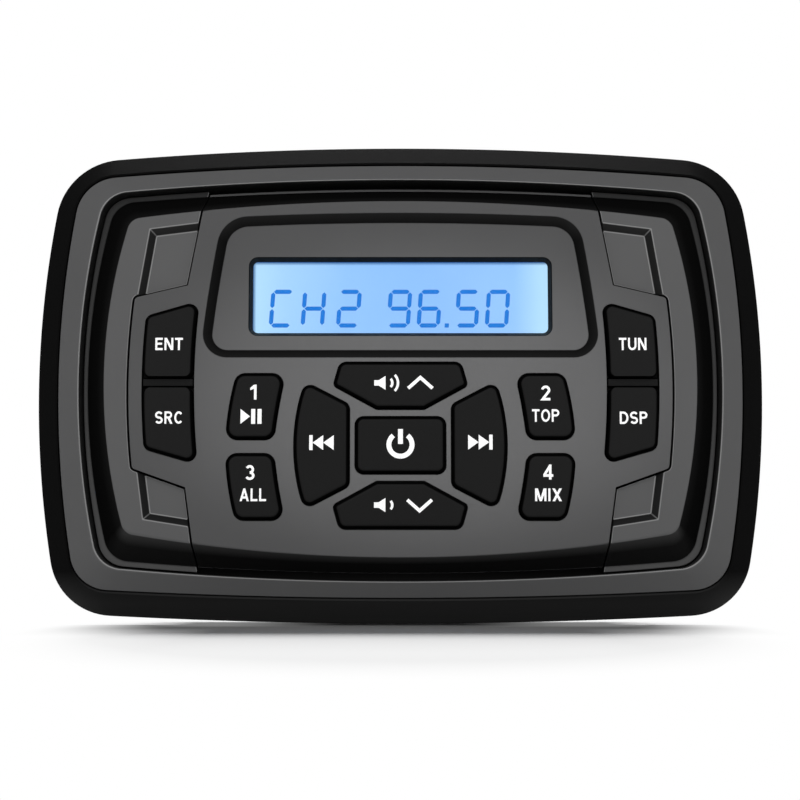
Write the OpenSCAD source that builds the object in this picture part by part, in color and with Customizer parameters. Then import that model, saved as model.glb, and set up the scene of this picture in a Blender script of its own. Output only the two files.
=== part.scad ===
// Flush-mount marine stereo head unit, in millimetres.
// x points right, z points up and the front faces -y. The plane y = 0 is the flange face that seats on
// the panel, and its middle is the origin. A height h is measured forwards from that seat: y = -h.
// A depth y is measured backwards from it.

/* [Outer frame] */
// Overall width of the face
face_w = 165; // [155:0.5:175]
// Overall height of the face
face_h = 109.2; // [105:0.2:116]
// Radius of the bowed left and right edges
side_bow_r = 235; // [180:5:400]
// Radius of the bowed top and bottom edges
end_bow_r = 790; // [500:10:1200]
// Radius of the outer corners
corner_r = 14.5; // [12:0.5:18]
// Height of the straight outer edge
edge_h = 2.8; // [2:0.1:4]
// Chamfer of the seat's outer edge
seat_chamfer = 0.4; // [0.2:0.1:0.8]
// Thickness of the floor that carries the panel
floor_t = 3; // [2.6:0.1:3.6]
// Width of the bevelled band
band_w = 5.8; // [5:0.1:7]
// Flat land at the inner edge of the band
band_land = 0.4; // [0.2:0.1:0.8]
// Height of the band at its inner edge
band_h = 9; // [8:0.1:10]
// Distance between the left and right mounting holes
mount_dx = 122; // [120:0.5:124]
// Distance between the upper and lower mounting holes
mount_dz = 64; // [60:0.5:66]
// Radius of a mounting hole
mount_hole_r = 2.2; // [1.8:0.1:2.6]
// Radius of the countersink of a mounting hole
mount_sink_r = 4; // [3.2:0.1:4.4]
// Depth of that countersink
mount_sink_d = 1.6; // [1:0.1:1.8]

/* [Front ring] */
// Gap of the seam between band and ring
seam_gap = 0.25; // [0.15:0.05:0.5]
// Width of the ring at left and right
ring_side_w = 4.9; // [4.4:0.1:5.4]
// Width of the ring at top and bottom
ring_end_w = 3.7; // [3.4:0.1:4.4]
// Rise of the ring from its outer to its inner edge
ring_rise = 1.7; // [0.8:0.1:2.2]
// Wall of the ring's hollow section
ring_wall = 1.2; // [0.9:0.1:1.4]
// Radius of the ring's bowed inner sides
ring_side_r = 170; // [140:5:260]
// Radius of the ring's bowed inner top and bottom
ring_end_r = 680; // [500:10:1000]
// Radius of the ring's inner corners
ring_corner_r = 6.6; // [5:0.2:8]

/* [Raised face] */
// Height of the panel face in front of the seat
face_top = 13; // [12.4:0.1:14]
// Width of the groove at left and right, from the ring to the face
groove_side_w = 6.1; // [5.5:0.1:6.6]
// Width of the groove at top and bottom
groove_end_w = 5.3; // [4.8:0.1:5.8]
// Chamfer along the edge of the face
face_edge = 0.5; // [0.3:0.1:0.8]
// Radius of the face's bowed sides
face_side_r = 128; // [110:2:170]
// Radius of the face's bowed top and bottom
face_end_r = 440; // [350:10:600]
// Radius of the face's corners
face_corner_r = 3; // [2.4:0.1:4]
// Radius of the bowed sides at the foot of the face's wall
foot_side_r = 150; // [130:5:200]
// Radius of the bowed top and bottom at that foot
foot_end_r = 600; // [450:10:800]
// Radius of the corners at that foot
foot_corner_r = 6; // [4:0.2:7]
// Height of the trims' lip in the groove
lip_h = 7; // [6:0.1:7.5]
// Width of that lip
lip_w = 1; // [0.7:0.1:1.4]
// Thickness of that lip
lip_t = 1.2; // [0.8:0.1:1.6]
// Gap between the lip and the ring
lip_gap = 0.3; // [0.2:0.05:0.5]

/* [Panel and trims] */
// Gap of the seams between the panel and the side trims
part_gap = 0.5; // [0.3:0.05:0.7]
// Thickness of the panel's plate
panel_t = 2.4; // [2:0.1:2.8]
// Thickness of the panel's walls along the seams
skirt_t = 1.2; // [1:0.1:1.4]
// Least thickness of the panel's walls at top and bottom
panel_wall = 1; // [0.8:0.1:2]
// Half width of the panel at its top corners
seam_top_x = 44; // [43.6:0.1:44.4]
// Half width of the panel at its bottom corners
seam_bottom_x = 45.4; // [44.8:0.1:46]
// Half width of the panel where its side wings start
wing_root_x = 47.5; // [47:0.1:48]
// Half width of the panel across its wings
wing_x = 60.4; // [60.2:0.1:61]
// Bow of the wings' outer edge
wing_bow = 1.1; // [0.8:0.1:1.4]
// Height of the middle of the wings
wing_z = -1.3; // [-1.6:0.1:-1]
// Half height of the wings at their outer edge
wing_tip_hh = 19.1; // [18.6:0.1:19.6]
// Rise of the wings' upper edge at its root
wing_root_up = 21.9; // [21.4:0.1:22.4]
// Fall of the wings' lower edge at its root
wing_root_down = 23.3; // [22.8:0.1:23.8]
// Radius of the wings' corners
wing_r = 1; // [0.6:0.1:1.4]
// Thickness of the trims' plate
trim_t = 2.8; // [2.4:0.1:3]
// Thickness of the trims' walls
trim_wall = 1.6; // [1.2:0.1:2]
// Depth of the trims' sunken tiles
tile_d = 1.4; // [1:0.1:1.6]
// Width of the tiles' sloping walls
tile_run = 1.6; // [1.2:0.1:2]
// Outer corner of the upper tile, from the middle
tile_up_x = 55.5; // [55:0.1:56]
// Height of that corner
tile_up_z = 34.2; // [33.6:0.1:34.6]
// Outer corner of the lower tile, from the middle
tile_low_x = 56.4; // [56:0.1:57]
// Height of that corner
tile_low_z = -31.3; // [-31.8:0.1:-30.8]
// Lean of the tiles' outer edges, sideways for each unit of height
tile_lean = 0.182; // [0.16:0.002:0.2]
// Slope of the tiles' upper and lower edges
tile_slope = 0.08; // [0.06:0.01:0.12]
// Slope of the lower tile's lower edge
tile_low_slope = 0.17; // [0.14:0.01:0.2]
// Radius of a trim's pegs
peg_r = 1.6; // [1.2:0.1:1.8]
// Gap round a peg in its hole
peg_gap = 0.15; // [0.1:0.05:0.3]

/* [Display] */
// Height of the lower edge of the sunken surround
recess_z0 = 4.25; // [4.1:0.05:4.4]
// Height of its upper edge at the corners
recess_z1 = 36; // [35.6:0.1:36.2]
// Half width of its lower edge
recess_low_x = 44.4; // [44:0.1:44.4]
// Half width of its upper edge
recess_high_x = 39.5; // [39:0.1:40]
// Bow of its upper edge
recess_bow = 1.1; // [0.6:0.1:1.2]
// Radius of its corners
recess_r = 4.5; // [3.6:0.1:5]
// Wall of the thick part behind the surround
recess_wall = 0.2; // [0.1:0.05:0.3]
// Depth of the surround below the face
recess_d = 2; // [1.6:0.1:2.2]
// Width of its sloping walls
recess_run = 2; // [1.6:0.1:2.4]
// Thickness of the plate round the window
window_t = 1.5; // [1.2:0.1:1.6]
// Half width of the window
window_hw = 34.2; // [33.6:0.1:34.6]
// Height of the window's lower edge
window_z0 = 9.3; // [9:0.1:9.6]
// Height of the window's upper edge
window_z1 = 27.5; // [27:0.1:28]
// Radius of the window's corners
window_r = 2.2; // [1.6:0.1:3]
// Thickness of the lens
lens_t = 1.1; // [0.9:0.05:1.2]
// Overlap of the lens behind the window's edge
lens_lap = 2.4; // [2:0.1:2.6]
// Thickness of the display cell
lcd_t = 1.5; // [1.2:0.1:1.6]
// Overlap of the display cell behind the window's edge
lcd_lap = 1.8; // [1.4:0.1:2]
// Thickness of the holder's front lip
lcd_lip_t = 0.6; // [0.5:0.05:0.7]
// Wall of the display holder
lcd_wall = 1.2; // [1:0.1:1.4]
// Height of the elastomer contact strips
zebra_w = 1.6; // [1.2:0.1:1.8]

/* [Keys] */
// Travel of a key
key_travel = 1; // [0.6:0.1:1.2]
// Height of the keys above the face
key_rise = 1.2; // [1:0.1:1.6]
// Gap round a key in its opening
key_gap = 0.3; // [0.25:0.05:0.35]
// Chamfer of a key's top edge
key_edge = 0.8; // [0.5:0.1:1]
// Radius of the keys' corners
key_r = 2; // [1.6:0.1:2.2]
// Smaller radius of the volume keys' outer corners
key_small_r = 1.2; // [0.8:0.1:1.4]
// Width of the lip that holds a key behind the panel
key_lip = 0.45; // [0.35:0.05:0.5]
// Thickness of that lip
key_lip_t = 1; // [0.8:0.1:1.2]
// Gap between that lip and the panel at rest
key_rest_gap = 0.2; // [0.1:0.05:0.3]
// Radius of a key's stem
key_stem_r = 2.2; // [1.6:0.1:2.4]
// Height of the middle of the centre cluster
cluster_z = -15.3; // [-15.5:0.1:-15.1]
// Width of the power key's opening
power_w = 20.2; // [19.6:0.1:20.6]
// Height of the power key's opening
power_h = 12.9; // [12.4:0.1:13.2]
// Inner edge of a skip key's opening, from the middle
skip_in_x = 11.2; // [11:0.1:11.6]
// Half height of that inner edge
skip_in_hh = 9.1; // [8.8:0.1:9.4]
// Outer corner of a skip key's opening, from the middle
skip_out_x = 21.2; // [20.8:0.1:21.4]
// Half height of the outer corners
skip_out_hh = 14.3; // [14:0.1:14.6]
// Bow of a skip key's outer edge
skip_bow = 2.45; // [2:0.05:2.6]
// Half width of a volume key's nose
volume_nose_x = 5.3; // [5:0.1:5.6]
// Distance of the nose from the middle of the cluster
volume_nose_z = 7.9; // [7.8:0.1:8.2]
// Half width of a volume key across its shoulders
volume_wide_x = 15; // [14.6:0.1:15.2]
// Distance of the shoulders from the middle of the cluster
volume_wide_z = 13.2; // [13:0.1:13.6]
// Half width of a volume key's far edge
volume_far_x = 13.5; // [13:0.1:14]
// Distance of the far edge from the middle of the cluster
volume_far_z = 18.6; // [18.2:0.1:18.7]
// Height of the middle of the number keys
number_z = -15.6; // [-15.8:0.1:-15.4]
// Distance of a number key's near edge from that middle
number_near_z = 1.45; // [1.3:0.05:1.6]
// Distance of a number key's far edge from that middle
number_far_z = 16.3; // [16:0.1:16.5]
// Outer end of a number key's near edge
number_near_out_x = 38.6; // [38.2:0.1:39]
// Inner end of a number key's near edge
number_near_in_x = 28; // [27.6:0.1:28.2]
// Outer end of an upper number key's far edge
number_up_out_x = 37.2; // [36.8:0.1:37.6]
// Outer end of a lower number key's far edge
number_low_out_x = 36; // [35.6:0.1:36.4]
// Inner end of a number key's far edge
number_far_in_x = 25.5; // [25.3:0.1:25.9]
// Height of the middle of the side keys
strip_z = -1.3; // [-1.5:0.1:-1.1]
// Inner corner of the side keys' opening
strip_in_x = 44.8; // [44.6:0.1:45.2]
// Half height of that inner edge
strip_in_hh = 18.35; // [18:0.05:18.5]
// Bow of the inner edge
strip_in_bow = 1.05; // [0.8:0.05:1.2]
// Outer corner of the side keys' opening
strip_out_x = 56.7; // [56.2:0.1:56.8]
// Half height of that outer edge
strip_out_hh = 14.9; // [14.6:0.1:15.1]
// Bow of the outer edge
strip_out_bow = 0.7; // [0.5:0.05:0.8]
// Half width of the bridge between the side keys
bridge_hw = 0.75; // [0.6:0.05:0.9]
// Drop of that bridge below the face
bridge_drop = 0.1; // [0:0.05:0.4]

/* [Front boards] */
// Thickness of the circuit boards
board_t = 1.6; // [1.2:0.1:1.7]
// Gap round the key board inside the panel
board_gap = 0.2; // [0.15:0.05:0.3]
// Margin of the key board round the display holder and the keys
board_over = 0.9; // [0.6:0.1:1.2]
// Thickness of a contact pad
contact_t = 0.3; // [0.2:0.05:0.4]
// Gap under a pressed key
contact_gap = 0.1; // [0.05:0.05:0.2]
// Size of a key light
led_size = 1.2; // [0.8:0.1:1.4]
// Height of a key light
led_t = 0.6; // [0.4:0.1:0.8]
// Thickness of the keypad mat's sheet
mat_t = 1; // [0.8:0.1:1.1]
// Gap between a pressed key's lip and the mat
mat_gap = 0.4; // [0.25:0.05:0.5]
// Width of the mat's rim
mat_rim = 0.7; // [0.6:0.05:0.75]

/* [Housing] */
// Width of the housing behind the panel
housing_w = 107; // [106:0.5:108]
// Height of the housing
housing_h = 80; // [79:0.5:82]
// Depth of the housing behind the seat
housing_d = 38; // [36:0.5:44]
// Wall of the housing
housing_wall = 2.2; // [1.8:0.1:2.4]
// Back wall of the housing
back_t = 2.5; // [2:0.1:3]
// Radius of the housing's corners
housing_r = 5; // [4:0.5:7]
// Depth of the seat that takes the housing's rim
rim_d = 1.2; // [1:0.1:1.4]
// Gap round the housing's rim
rim_gap = 0.3; // [0.2:0.05:0.4]
// Thickness of the case seal
seal_t = 0.8; // [0.6:0.1:1]
// Half width of the floor's opening
opening_hw = 43; // [42:0.5:43.5]
// Half height of the floor's opening
opening_hh = 29; // [28:0.5:29.5]
// Distance of the panel gasket from the outer edge
gasket_in = 3; // [2.5:0.1:4]
// Width of the panel gasket
gasket_w = 3.2; // [2.5:0.1:4]
// Thickness of the panel gasket
gasket_t = 1.5; // [1:0.1:1.6]
// Gap at the walls of the gasket's channel
gasket_gap = 0.1; // [0.05:0.05:0.2]
// Width of the housing's outer ribs
rib_w = 2; // [1.5:0.1:3]
// Height of those ribs
rib_t = 0.8; // [0.5:0.1:1]
// Distance between those ribs
rib_pitch = 8; // [6:0.5:10]

/* [Fasteners] */
// Radius of a screw's shank
screw_r = 1.15; // [1:0.05:1.3]
// Gap round a shank in its pilot hole
pilot_gap = 0.05; // [0.03:0.01:0.08]
// Gap round a shank in a clearance hole
clear_gap = 0.4; // [0.3:0.05:0.5]
// Radius of a screw's head
head_r = 2.4; // [2.1:0.1:2.5]
// Height of a screw's head
head_t = 1.8; // [1.4:0.1:2]
// Radius of the bosses
boss_r = 2.4; // [2.2:0.1:2.6]
// Radius of the housing's screw columns
column_r = 3.9; // [3.6:0.1:4.2]
// Depth in the housing at which its screws' heads sit
column_seat = 8; // [6:0.5:12]

/* [Heat sink] */
// Width of the heat sink
sink_w = 78; // [74:0.5:84]
// Height of its lower edge
sink_z0 = -6; // [-7:0.1:-5.5]
// Height of its upper edge
sink_z1 = 36; // [34:0.5:37]
// Thickness of its base
sink_t = 3; // [2.5:0.1:4]
// Length of its fins
fin_l = 9; // [7:0.5:12]
// Thickness of a fin
fin_t = 1.8; // [1.4:0.1:2.2]
// Distance between fins
fin_pitch = 5.2; // [4.6:0.1:6]
// Half width of the pedestal that reaches the amplifier
pedestal_hw = 21; // [20.5:0.5:22]
// Reach of the pedestal in front of the back wall
pedestal_l = 2.5; // [2:0.1:4]

/* [Main board] */
// Height of the main board's upper face
main_z = -8; // [-8.4:0.1:-7.6]
// Gap between the main board and the housing's sides
main_gap = 1.3; // [0.7:0.1:1.8]
// Depth of the main board's front edge
main_y0 = 3; // [2.6:0.1:3.4]
// Width of the rails under the main board
rail_w = 4.8; // [4.4:0.1:5]
// Height of the rails
rail_t = 4; // [3:0.1:5]
// Width of the amplifier chip
chip_w = 30; // [26:0.5:31]
// Height of the amplifier chip
chip_h = 16; // [14:0.5:17]
// Thickness of the amplifier chip
chip_t = 4.6; // [4:0.1:5]
// Height of the chip above the main board
chip_lift = 4; // [3.5:0.1:5]
// Number of the chip's leads
chip_leads = 13; // [9:1:15]
// Distance between leads
lead_pitch = 2; // [1.7:0.1:2]
// Width of a lead
lead_w = 0.7; // [0.5:0.1:0.8]
// Thickness of the chip's clamp bar
clamp_t = 1.8; // [1.4:0.1:2.2]
// Height of the clamp bar
clamp_h = 6; // [5:0.5:7]
// Radius of a filter capacitor
cap_r = 6; // [5:0.5:6.5]
// Height of a filter capacitor
cap_h = 22; // [16:0.5:26]
// Radius of the choke's ring, at its middle
choke_ring_r = 6.5; // [6:0.1:7]
// Radius of the choke's winding
choke_wire_r = 2.8; // [2.4:0.1:3]
// Width of the tuner's can
tuner_w = 20; // [16:0.5:20]
// Depth of the tuner's can
tuner_l = 11; // [9:0.5:11]
// Height of the tuner's can
tuner_h = 11; // [8:0.5:13]
// Width of the wireless module
module_w = 16; // [13:0.5:18]
// Depth of the wireless module
module_l = 10; // [8:0.5:11]
// Height of the wireless module
module_h = 3; // [2:0.1:4]
// Width of the voltage regulator
regulator_w = 10; // [8:0.1:11]
// Thickness of the voltage regulator
regulator_l = 4.5; // [3:0.1:6]
// Height of the voltage regulator
regulator_h = 15; // [12:0.5:18]
// Space between the parts on the main board
part_space = 1.2; // [0.8:0.1:1.4]
// Width of the plug-in link between the boards
link_w = 32; // [26:0.5:36]
// Height of that link
link_h = 7; // [6:0.1:7.5]
// Wall of the link's socket
link_wall = 2; // [1.4:0.1:2.3]
// Gap round the link's tongue
link_gap = 0.3; // [0.2:0.05:0.4]

/* [Rear connections] */
// Height of the connectors below the main board
connector_h = 14; // [13:0.1:15]
// Reach of the connectors behind the housing
connector_out = 6; // [4:0.5:9]
// Depth of the connectors' bodies inside the housing
connector_in = 13; // [12:0.5:14]
// Gap round a connector in the back wall
connector_gap = 0.3; // [0.2:0.05:0.5]
// Space between neighbouring connectors, and beside the walls
connector_space = 1; // [0.8:0.1:1.6]
// Width of the harness socket
harness_w = 34; // [30:0.5:35]
// Wall of the harness socket
harness_wall = 1.8; // [1.4:0.1:2.2]
// Number of pins in each of its two rows
harness_pins_n = 8; // [6:1:8]
// Distance between pins
harness_pitch = 3.6; // [3:0.1:3.8]
// Thickness of a pin
harness_pin_w = 1.2; // [0.8:0.1:1.4]
// Length of a pin inside the socket
harness_pin_l = 9; // [7:0.5:10]
// Radius of the antenna socket's nose
antenna_r = 5.5; // [5.2:0.1:5.8]
// Radius of its bore
antenna_bore_r = 4.2; // [3.6:0.1:4.4]
// Depth of its bore
antenna_bore_l = 12; // [10:0.5:13]
// Outer radius of its inner contact
antenna_pin_r = 2.9; // [2.4:0.1:3.2]
// Length of its inner contact
antenna_pin_l = 4; // [3:0.5:5]
// Wall of its inner contact
antenna_pin_wall = 1.2; // [0.8:0.1:1.4]
// Distance between the line sockets
line_pitch = 13; // [12:0.1:13.4]
// Width of the line sockets' block
line_w = 25; // [23:0.5:25.5]
// Outer radius of a line socket's sleeve
line_r = 4.15; // [4:0.05:4.3]
// Length of a line socket behind the housing
line_l = 9; // [7:0.5:10]
// Wall of the sleeve
line_wall = 0.6; // [0.4:0.05:0.8]
// Radius of the collar at the foot of a sleeve
line_collar_r = 5; // [4.8:0.1:5.4]
// Reach of that collar behind the housing
line_collar_out = 0.5; // [0.3:0.1:1]
// Radius of the bore in a line socket's core
line_bore_r = 1.65; // [1.5:0.05:1.8]
// Width of the fuse holder
fuse_w = 16; // [14:0.5:16]
// Wall of the fuse holder
fuse_wall = 1.6; // [1.2:0.1:2]
// Reach of the fuse behind its holder
fuse_out = 3; // [2:0.5:5]
// Gap round the fuse in its holder
fuse_gap = 0.3; // [0.2:0.05:0.4]
// Radius of the thread for the rear support
support_r = 2.1; // [1.6:0.05:2.5]
// Wall of its brass insert
support_wall = 1.1; // [0.8:0.1:1.4]
// Length of its brass insert
support_l = 8; // [6:0.5:10]
// Wall of its boss
support_boss = 2; // [1.5:0.1:2.4]
// Distance of its middle from the housing's underside
support_in = 9; // [8.6:0.1:9.4]

/* [Hidden] */

$fn = 48;
bow_n = 4; // steps along half of a bowed edge
corner_n = 8; // steps round an outline's corner
fillet_n = 5; // steps round a small corner
over = 1; // how far a cutter passes the faces that it cuts

face_gray = "#57575a";
ring_gray = "#4e4e51";
black = "#1b1b1d";
key_black = "#222224";
metal = "#b9bcc0";
board_green = "#1f5a3a";

// Bowed outlines: half width, half height, side radius, end radius and corner radius
frame_line = [face_w / 2, face_h / 2, side_bow_r, end_bow_r, corner_r];
ring_in_hw = face_w / 2 - band_w - ring_side_w;
ring_in_hh = face_h / 2 - band_w - ring_end_w;
ring_line = [ring_in_hw, ring_in_hh, ring_side_r, ring_end_r, ring_corner_r];
face_hw = ring_in_hw - groove_side_w;
face_hh = ring_in_hh - groove_end_w;
face_line = [face_hw, face_hh, face_side_r, face_end_r, face_corner_r];
foot_in = lip_gap + lip_w;
foot_line = [ring_in_hw - foot_in, ring_in_hh - foot_in, foot_side_r, foot_end_r, foot_corner_r];

// Heights of the layers behind the face
plate_h = face_top - panel_t; // back of the panel's plate
sunk_h = face_top - recess_d; // floor of the display surround
window_h = sunk_h - window_t; // back of the window's plate
lens_h = window_h - lens_t;
lcd_h = lens_h - lcd_lip_t; // front of the display cell
board_h = floor_t + board_t; // front of the key board
lip_top_h = plate_h - key_rest_gap; // front of the keys' lips
lip_back_h = lip_top_h - key_lip_t;
mat_h = lip_back_h - key_travel - mat_gap; // front of the mat's sheet
stem_h = board_h + contact_t + contact_gap + key_travel; // end of the keys' stems
key_top = face_top + key_rise;

// Depths behind the seat
rim_y = seal_t - rim_d; // front edge of the housing
back_y = housing_d - back_t; // inner face of the back wall
chip_y = back_y - pedestal_l; // face that cools the amplifier
connector_y = back_y - connector_in; // front of the connectors
main_under = main_z - board_t; // underside of the main board
connector_z = main_under - connector_h / 2; // middle of the connectors

// Places
mount_at = [for (sx = [-1, 1]) for (sz = [-1, 1]) [sx * mount_dx / 2, sz * mount_dz / 2]];
column_x = housing_w / 2 - housing_wall - boss_r;
column_z = housing_h / 2 - housing_wall - column_r + 0.1;
column_at = [for (sx = [-1, 1]) for (sz = [-1, 1]) [sx * column_x, sz * column_z]];
// A panel screw stands inside the panel's wall and clear of the housing's wall and column
panel_boss_x = min(seam_top_x + skirt_t - boss_r - pilot_gap, column_x - column_r - head_r - pilot_gap);
panel_boss_z = housing_h / 2 - housing_wall - head_r - clear_gap;
panel_boss_at = [for (sx = [-1, 1]) for (sz = [-1, 1]) [sx * panel_boss_x, sz * panel_boss_z]];
peg_at = [[face_hw - 1.4, wing_z + 10], [face_hw - 1.4, wing_z - 10], [54, 27.5], [54, -28.5]];
sink_screw_in = 4; // from the heat sink's edges
sink_screw_at = [for (sx = [-1, 1]) for (z = [sink_z0 + sink_screw_in, sink_z1 - sink_screw_in])
  [sx * (sink_w / 2 - sink_screw_in), z]];
inner_hw = housing_w / 2 - housing_wall;
rail_x = inner_hw - rail_w / 2;
rail_end = connector_y - connector_gap;
board_screw_in = 4; // from the ends of the rails
board_screw_at = [for (sx = [-1, 1]) for (y = [main_y0 + board_screw_in, rail_end - board_screw_in])
  [sx * rail_x, y]];
antenna_x = antenna_r + connector_space - inner_hw;
line_x = antenna_x + antenna_r + connector_space + line_w / 2;
fuse_x = inner_hw - connector_space - fuse_w / 2;
harness_x = fuse_x - fuse_w / 2 - connector_space - harness_w / 2;
support_z = support_in - housing_h / 2;
main_hw = inner_hw - main_gap;

// Outline helpers: points run counter-clockwise as seen from the front
function unit(v) = v / norm(v);
function left_normal(a, b) = let (d = unit(b - a)) [-d[1], d[0]];
function turn_list(list) = [for (i = [len(list) - 1:-1:0]) list[i]];
function flip(pts) = [for (i = [len(pts) - 1:-1:0]) [-pts[i][0], pts[i][1]]];
function turn_over(pts, z) = [for (i = [len(pts) - 1:-1:0]) [pts[i][0], 2 * z - pts[i][1]]];

// Moves every edge of an outline inwards by d
function inset(pts, d) = let (n = len(pts)) [
  for (i = [0:n - 1])
    let (p = pts[i])
    let (u = left_normal(pts[(i + n - 1) % n], p))
    let (v = left_normal(p, pts[(i + 1) % n]))
    p + d * (u + v) / (1 + u * v)
];

// Points of an arc of radius r that rounds the corner at p
function fillet(a, p, b, r) = let (u = unit(a - p), v = unit(b - p))
  let (half = acos(u * v) / 2)
  let (c = p + unit(u + v) * r / sin(half))
  let (s = p + u * r / tan(half) - c)
  let (start = atan2(s[1], s[0]), sweep = sign(cross(p - a, b - p)) * (180 - 2 * half))
  [for (k = [0:fillet_n]) c + r * [cos(start + sweep * k / fillet_n), sin(start + sweep * k / fillet_n)]];

// Rounds the corners that have a radius, after an inset of d
function rounded(pts, radii, d = 0) = let (q = inset(pts, d), n = len(pts)) [
  for (i = [0:n - 1])
    each radii[i] > 0
      ? fillet(q[(i + n - 1) % n], q[i], q[(i + 1) % n], max(radii[i] - d, 0.2))
      : [q[i]]
];

// Points between p and q on an edge that bows to the right by s
function bow(p, q, s, n = 6) = let (w = -left_normal(p, q))
  [for (k = [1:n - 1]) p + (q - p) * k / n + w * 4 * s * k * (n - k) / (n * n)];

// Outline of four bowed edges and four round corners, grown by d
function bowed(line, d = 0) = let (hw = line[0] + d, hh = line[1] + d)
  let (rs = line[2] + d, re = line[3] + d, rc = line[4] + d)
  let (cs = [hw - rs, 0], ce = [0, hh - re])
  let (gap = norm(ce - cs), e = (ce - cs) / norm(ce - cs))
  let (a = ((rs - rc) ^ 2 - (re - rc) ^ 2 + gap ^ 2) / (2 * gap))
  let (c = cs + a * e + sqrt((rs - rc) ^ 2 - a ^ 2) * [-e[1], e[0]])
  let (t0 = atan2(c[1] - cs[1], c[0] - cs[0]), t1 = atan2(c[1] - ce[1], c[0] - ce[0]))
  let (q = concat(
    [for (k = [0:bow_n - 1]) cs + rs * [cos(t0 * k / bow_n), sin(t0 * k / bow_n)]],
    [for (k = [0:corner_n]) let (t = t0 + (t1 - t0) * k / corner_n) c + rc * [cos(t), sin(t)]],
    [for (k = [1:bow_n]) let (t = t1 + (90 - t1) * k / bow_n) ce + re * [cos(t), sin(t)]]))
  let (m = len(q) - 1)
  concat(
    q,
    [for (k = [m - 1:-1:0]) [-q[k][0], q[k][1]]],
    [for (k = [1:m]) [-q[k][0], -q[k][1]]],
    [for (k = [m - 1:-1:1]) [q[k][0], -q[k][1]]]);

function box_points(hw, z0, z1) = [[-hw, z0], [hw, z0], [hw, z1], [-hw, z1]];
function box_line(hw, z0, z1, r, d = 0) = rounded(box_points(hw, z0, z1), [r, r, r, r], d);

// Seam line of the panel, from the bottom of its right side to its top, and the whole outline
seam_end = face_h / 2;
wing_tip_x = wing_x - wing_bow;
wing_top_z = wing_z + wing_root_up;
wing_foot_z = wing_z - wing_root_down;
seam_low_end = wing_root_x
  + (seam_bottom_x - wing_root_x) * (seam_end + wing_foot_z) / (face_hh + wing_foot_z);
seam_high_end = wing_root_x
  + (seam_top_x - wing_root_x) * (seam_end - wing_top_z) / (face_hh - wing_top_z);
wing_low = [wing_tip_x, wing_z - wing_tip_hh];
wing_high = [wing_tip_x, wing_z + wing_tip_hh];
seam_side = concat(
  [[seam_low_end, -seam_end], [wing_root_x, wing_foot_z], wing_low],
  bow(wing_low, wing_high, wing_bow),
  [wing_high, [wing_root_x, wing_top_z], [seam_high_end, seam_end]]);
panel_points = concat(seam_side, flip(seam_side));
panel_radii = [for (p = panel_points) norm([abs(p[0]), p[1]] - wing_low) < 0.01 ? wing_r
  : norm([abs(p[0]), p[1]] - wing_high) < 0.01 ? wing_r : 0];
function panel_edge(d = 0) = rounded(panel_points, panel_radii, d);

// Sunken display surround
recess_right = [[recess_low_x, recess_z0], [recess_high_x, recess_z1]];
recess_points = concat(
  recess_right,
  bow(recess_right[1], [-recess_high_x, recess_z1], recess_bow),
  flip(recess_right));
recess_radii = [for (p = recess_points) abs(p[0]) >= recess_high_x - 0.01 ? recess_r : 0];
function recess_edge(d = 0) = rounded(recess_points, recess_radii, d);

// Key openings: each has its points, its corner radii and the place of its stem
power_shape = [
  box_points(power_w / 2, cluster_z - power_h / 2, cluster_z + power_h / 2),
  [key_r, key_r, key_r, key_r],
  [0, cluster_z]];

skip_low = [skip_out_x, cluster_z - skip_out_hh];
skip_high = [skip_out_x, cluster_z + skip_out_hh];
next_points = concat(
  [[skip_in_x, cluster_z + skip_in_hh], [skip_in_x, cluster_z - skip_in_hh], skip_low],
  bow(skip_low, skip_high, skip_bow),
  [skip_high]);
next_radii = [for (p = next_points) p[0] > skip_out_x + 0.01 ? 0 : key_r];
skip_stem_x = (skip_in_x + skip_out_x + skip_bow) / 2;
next_shape = [next_points, next_radii, [skip_stem_x, cluster_z]];

volume_points = [
  [volume_nose_x, cluster_z + volume_nose_z], [volume_wide_x, cluster_z + volume_wide_z],
  [volume_far_x, cluster_z + volume_far_z], [-volume_far_x, cluster_z + volume_far_z],
  [-volume_wide_x, cluster_z + volume_wide_z], [-volume_nose_x, cluster_z + volume_nose_z]];
volume_radii = [key_small_r, key_small_r, key_r, key_r, key_small_r, key_small_r];
volume_stem_z = (volume_nose_z + volume_far_z) / 2;
volume_up_shape = [volume_points, volume_radii, [0, cluster_z + volume_stem_z]];
volume_down_shape = [turn_over(volume_points, cluster_z), turn_list(volume_radii),
  [0, cluster_z - volume_stem_z]];

function number_shape(far_out_x, up) =
  let (near = number_z + up * number_near_z, far = number_z + up * number_far_z)
  let (pts = [[number_near_in_x, near], [number_near_out_x, near], [far_out_x, far],
    [number_far_in_x, far]])
  [up > 0 ? pts : turn_list(pts), [key_r, key_r, key_r, key_r],
    [(number_near_in_x + number_near_out_x + number_far_in_x + far_out_x) / 4, (near + far) / 2]];
key_2_shape = number_shape(number_up_out_x, 1);
key_4_shape = number_shape(number_low_out_x, -1);

strip_in_low = [strip_in_x, strip_z - strip_in_hh];
strip_out_low = [strip_out_x, strip_z - strip_out_hh];
strip_out_high = [strip_out_x, strip_z + strip_out_hh];
strip_in_high = [strip_in_x, strip_z + strip_in_hh];
strip_points = concat(
  [strip_in_low, strip_out_low],
  bow(strip_out_low, strip_out_high, strip_out_bow),
  [strip_out_high, strip_in_high],
  bow(strip_in_high, strip_in_low, -strip_in_bow));
strip_corners = [strip_in_low, strip_out_low, strip_out_high, strip_in_high];
strip_radii = [for (p = strip_points)
  min([for (c = strip_corners) norm(p - c)]) < 0.01 ? key_r : 0];
strip_stem_x = (strip_in_x + strip_in_bow + strip_out_x + strip_out_bow) / 2;
strip_stem_z = strip_in_hh / 2;
function flip_shape(s) = [flip(s[0]), turn_list(s[1]), [-s[2][0], s[2][1]]];

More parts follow.
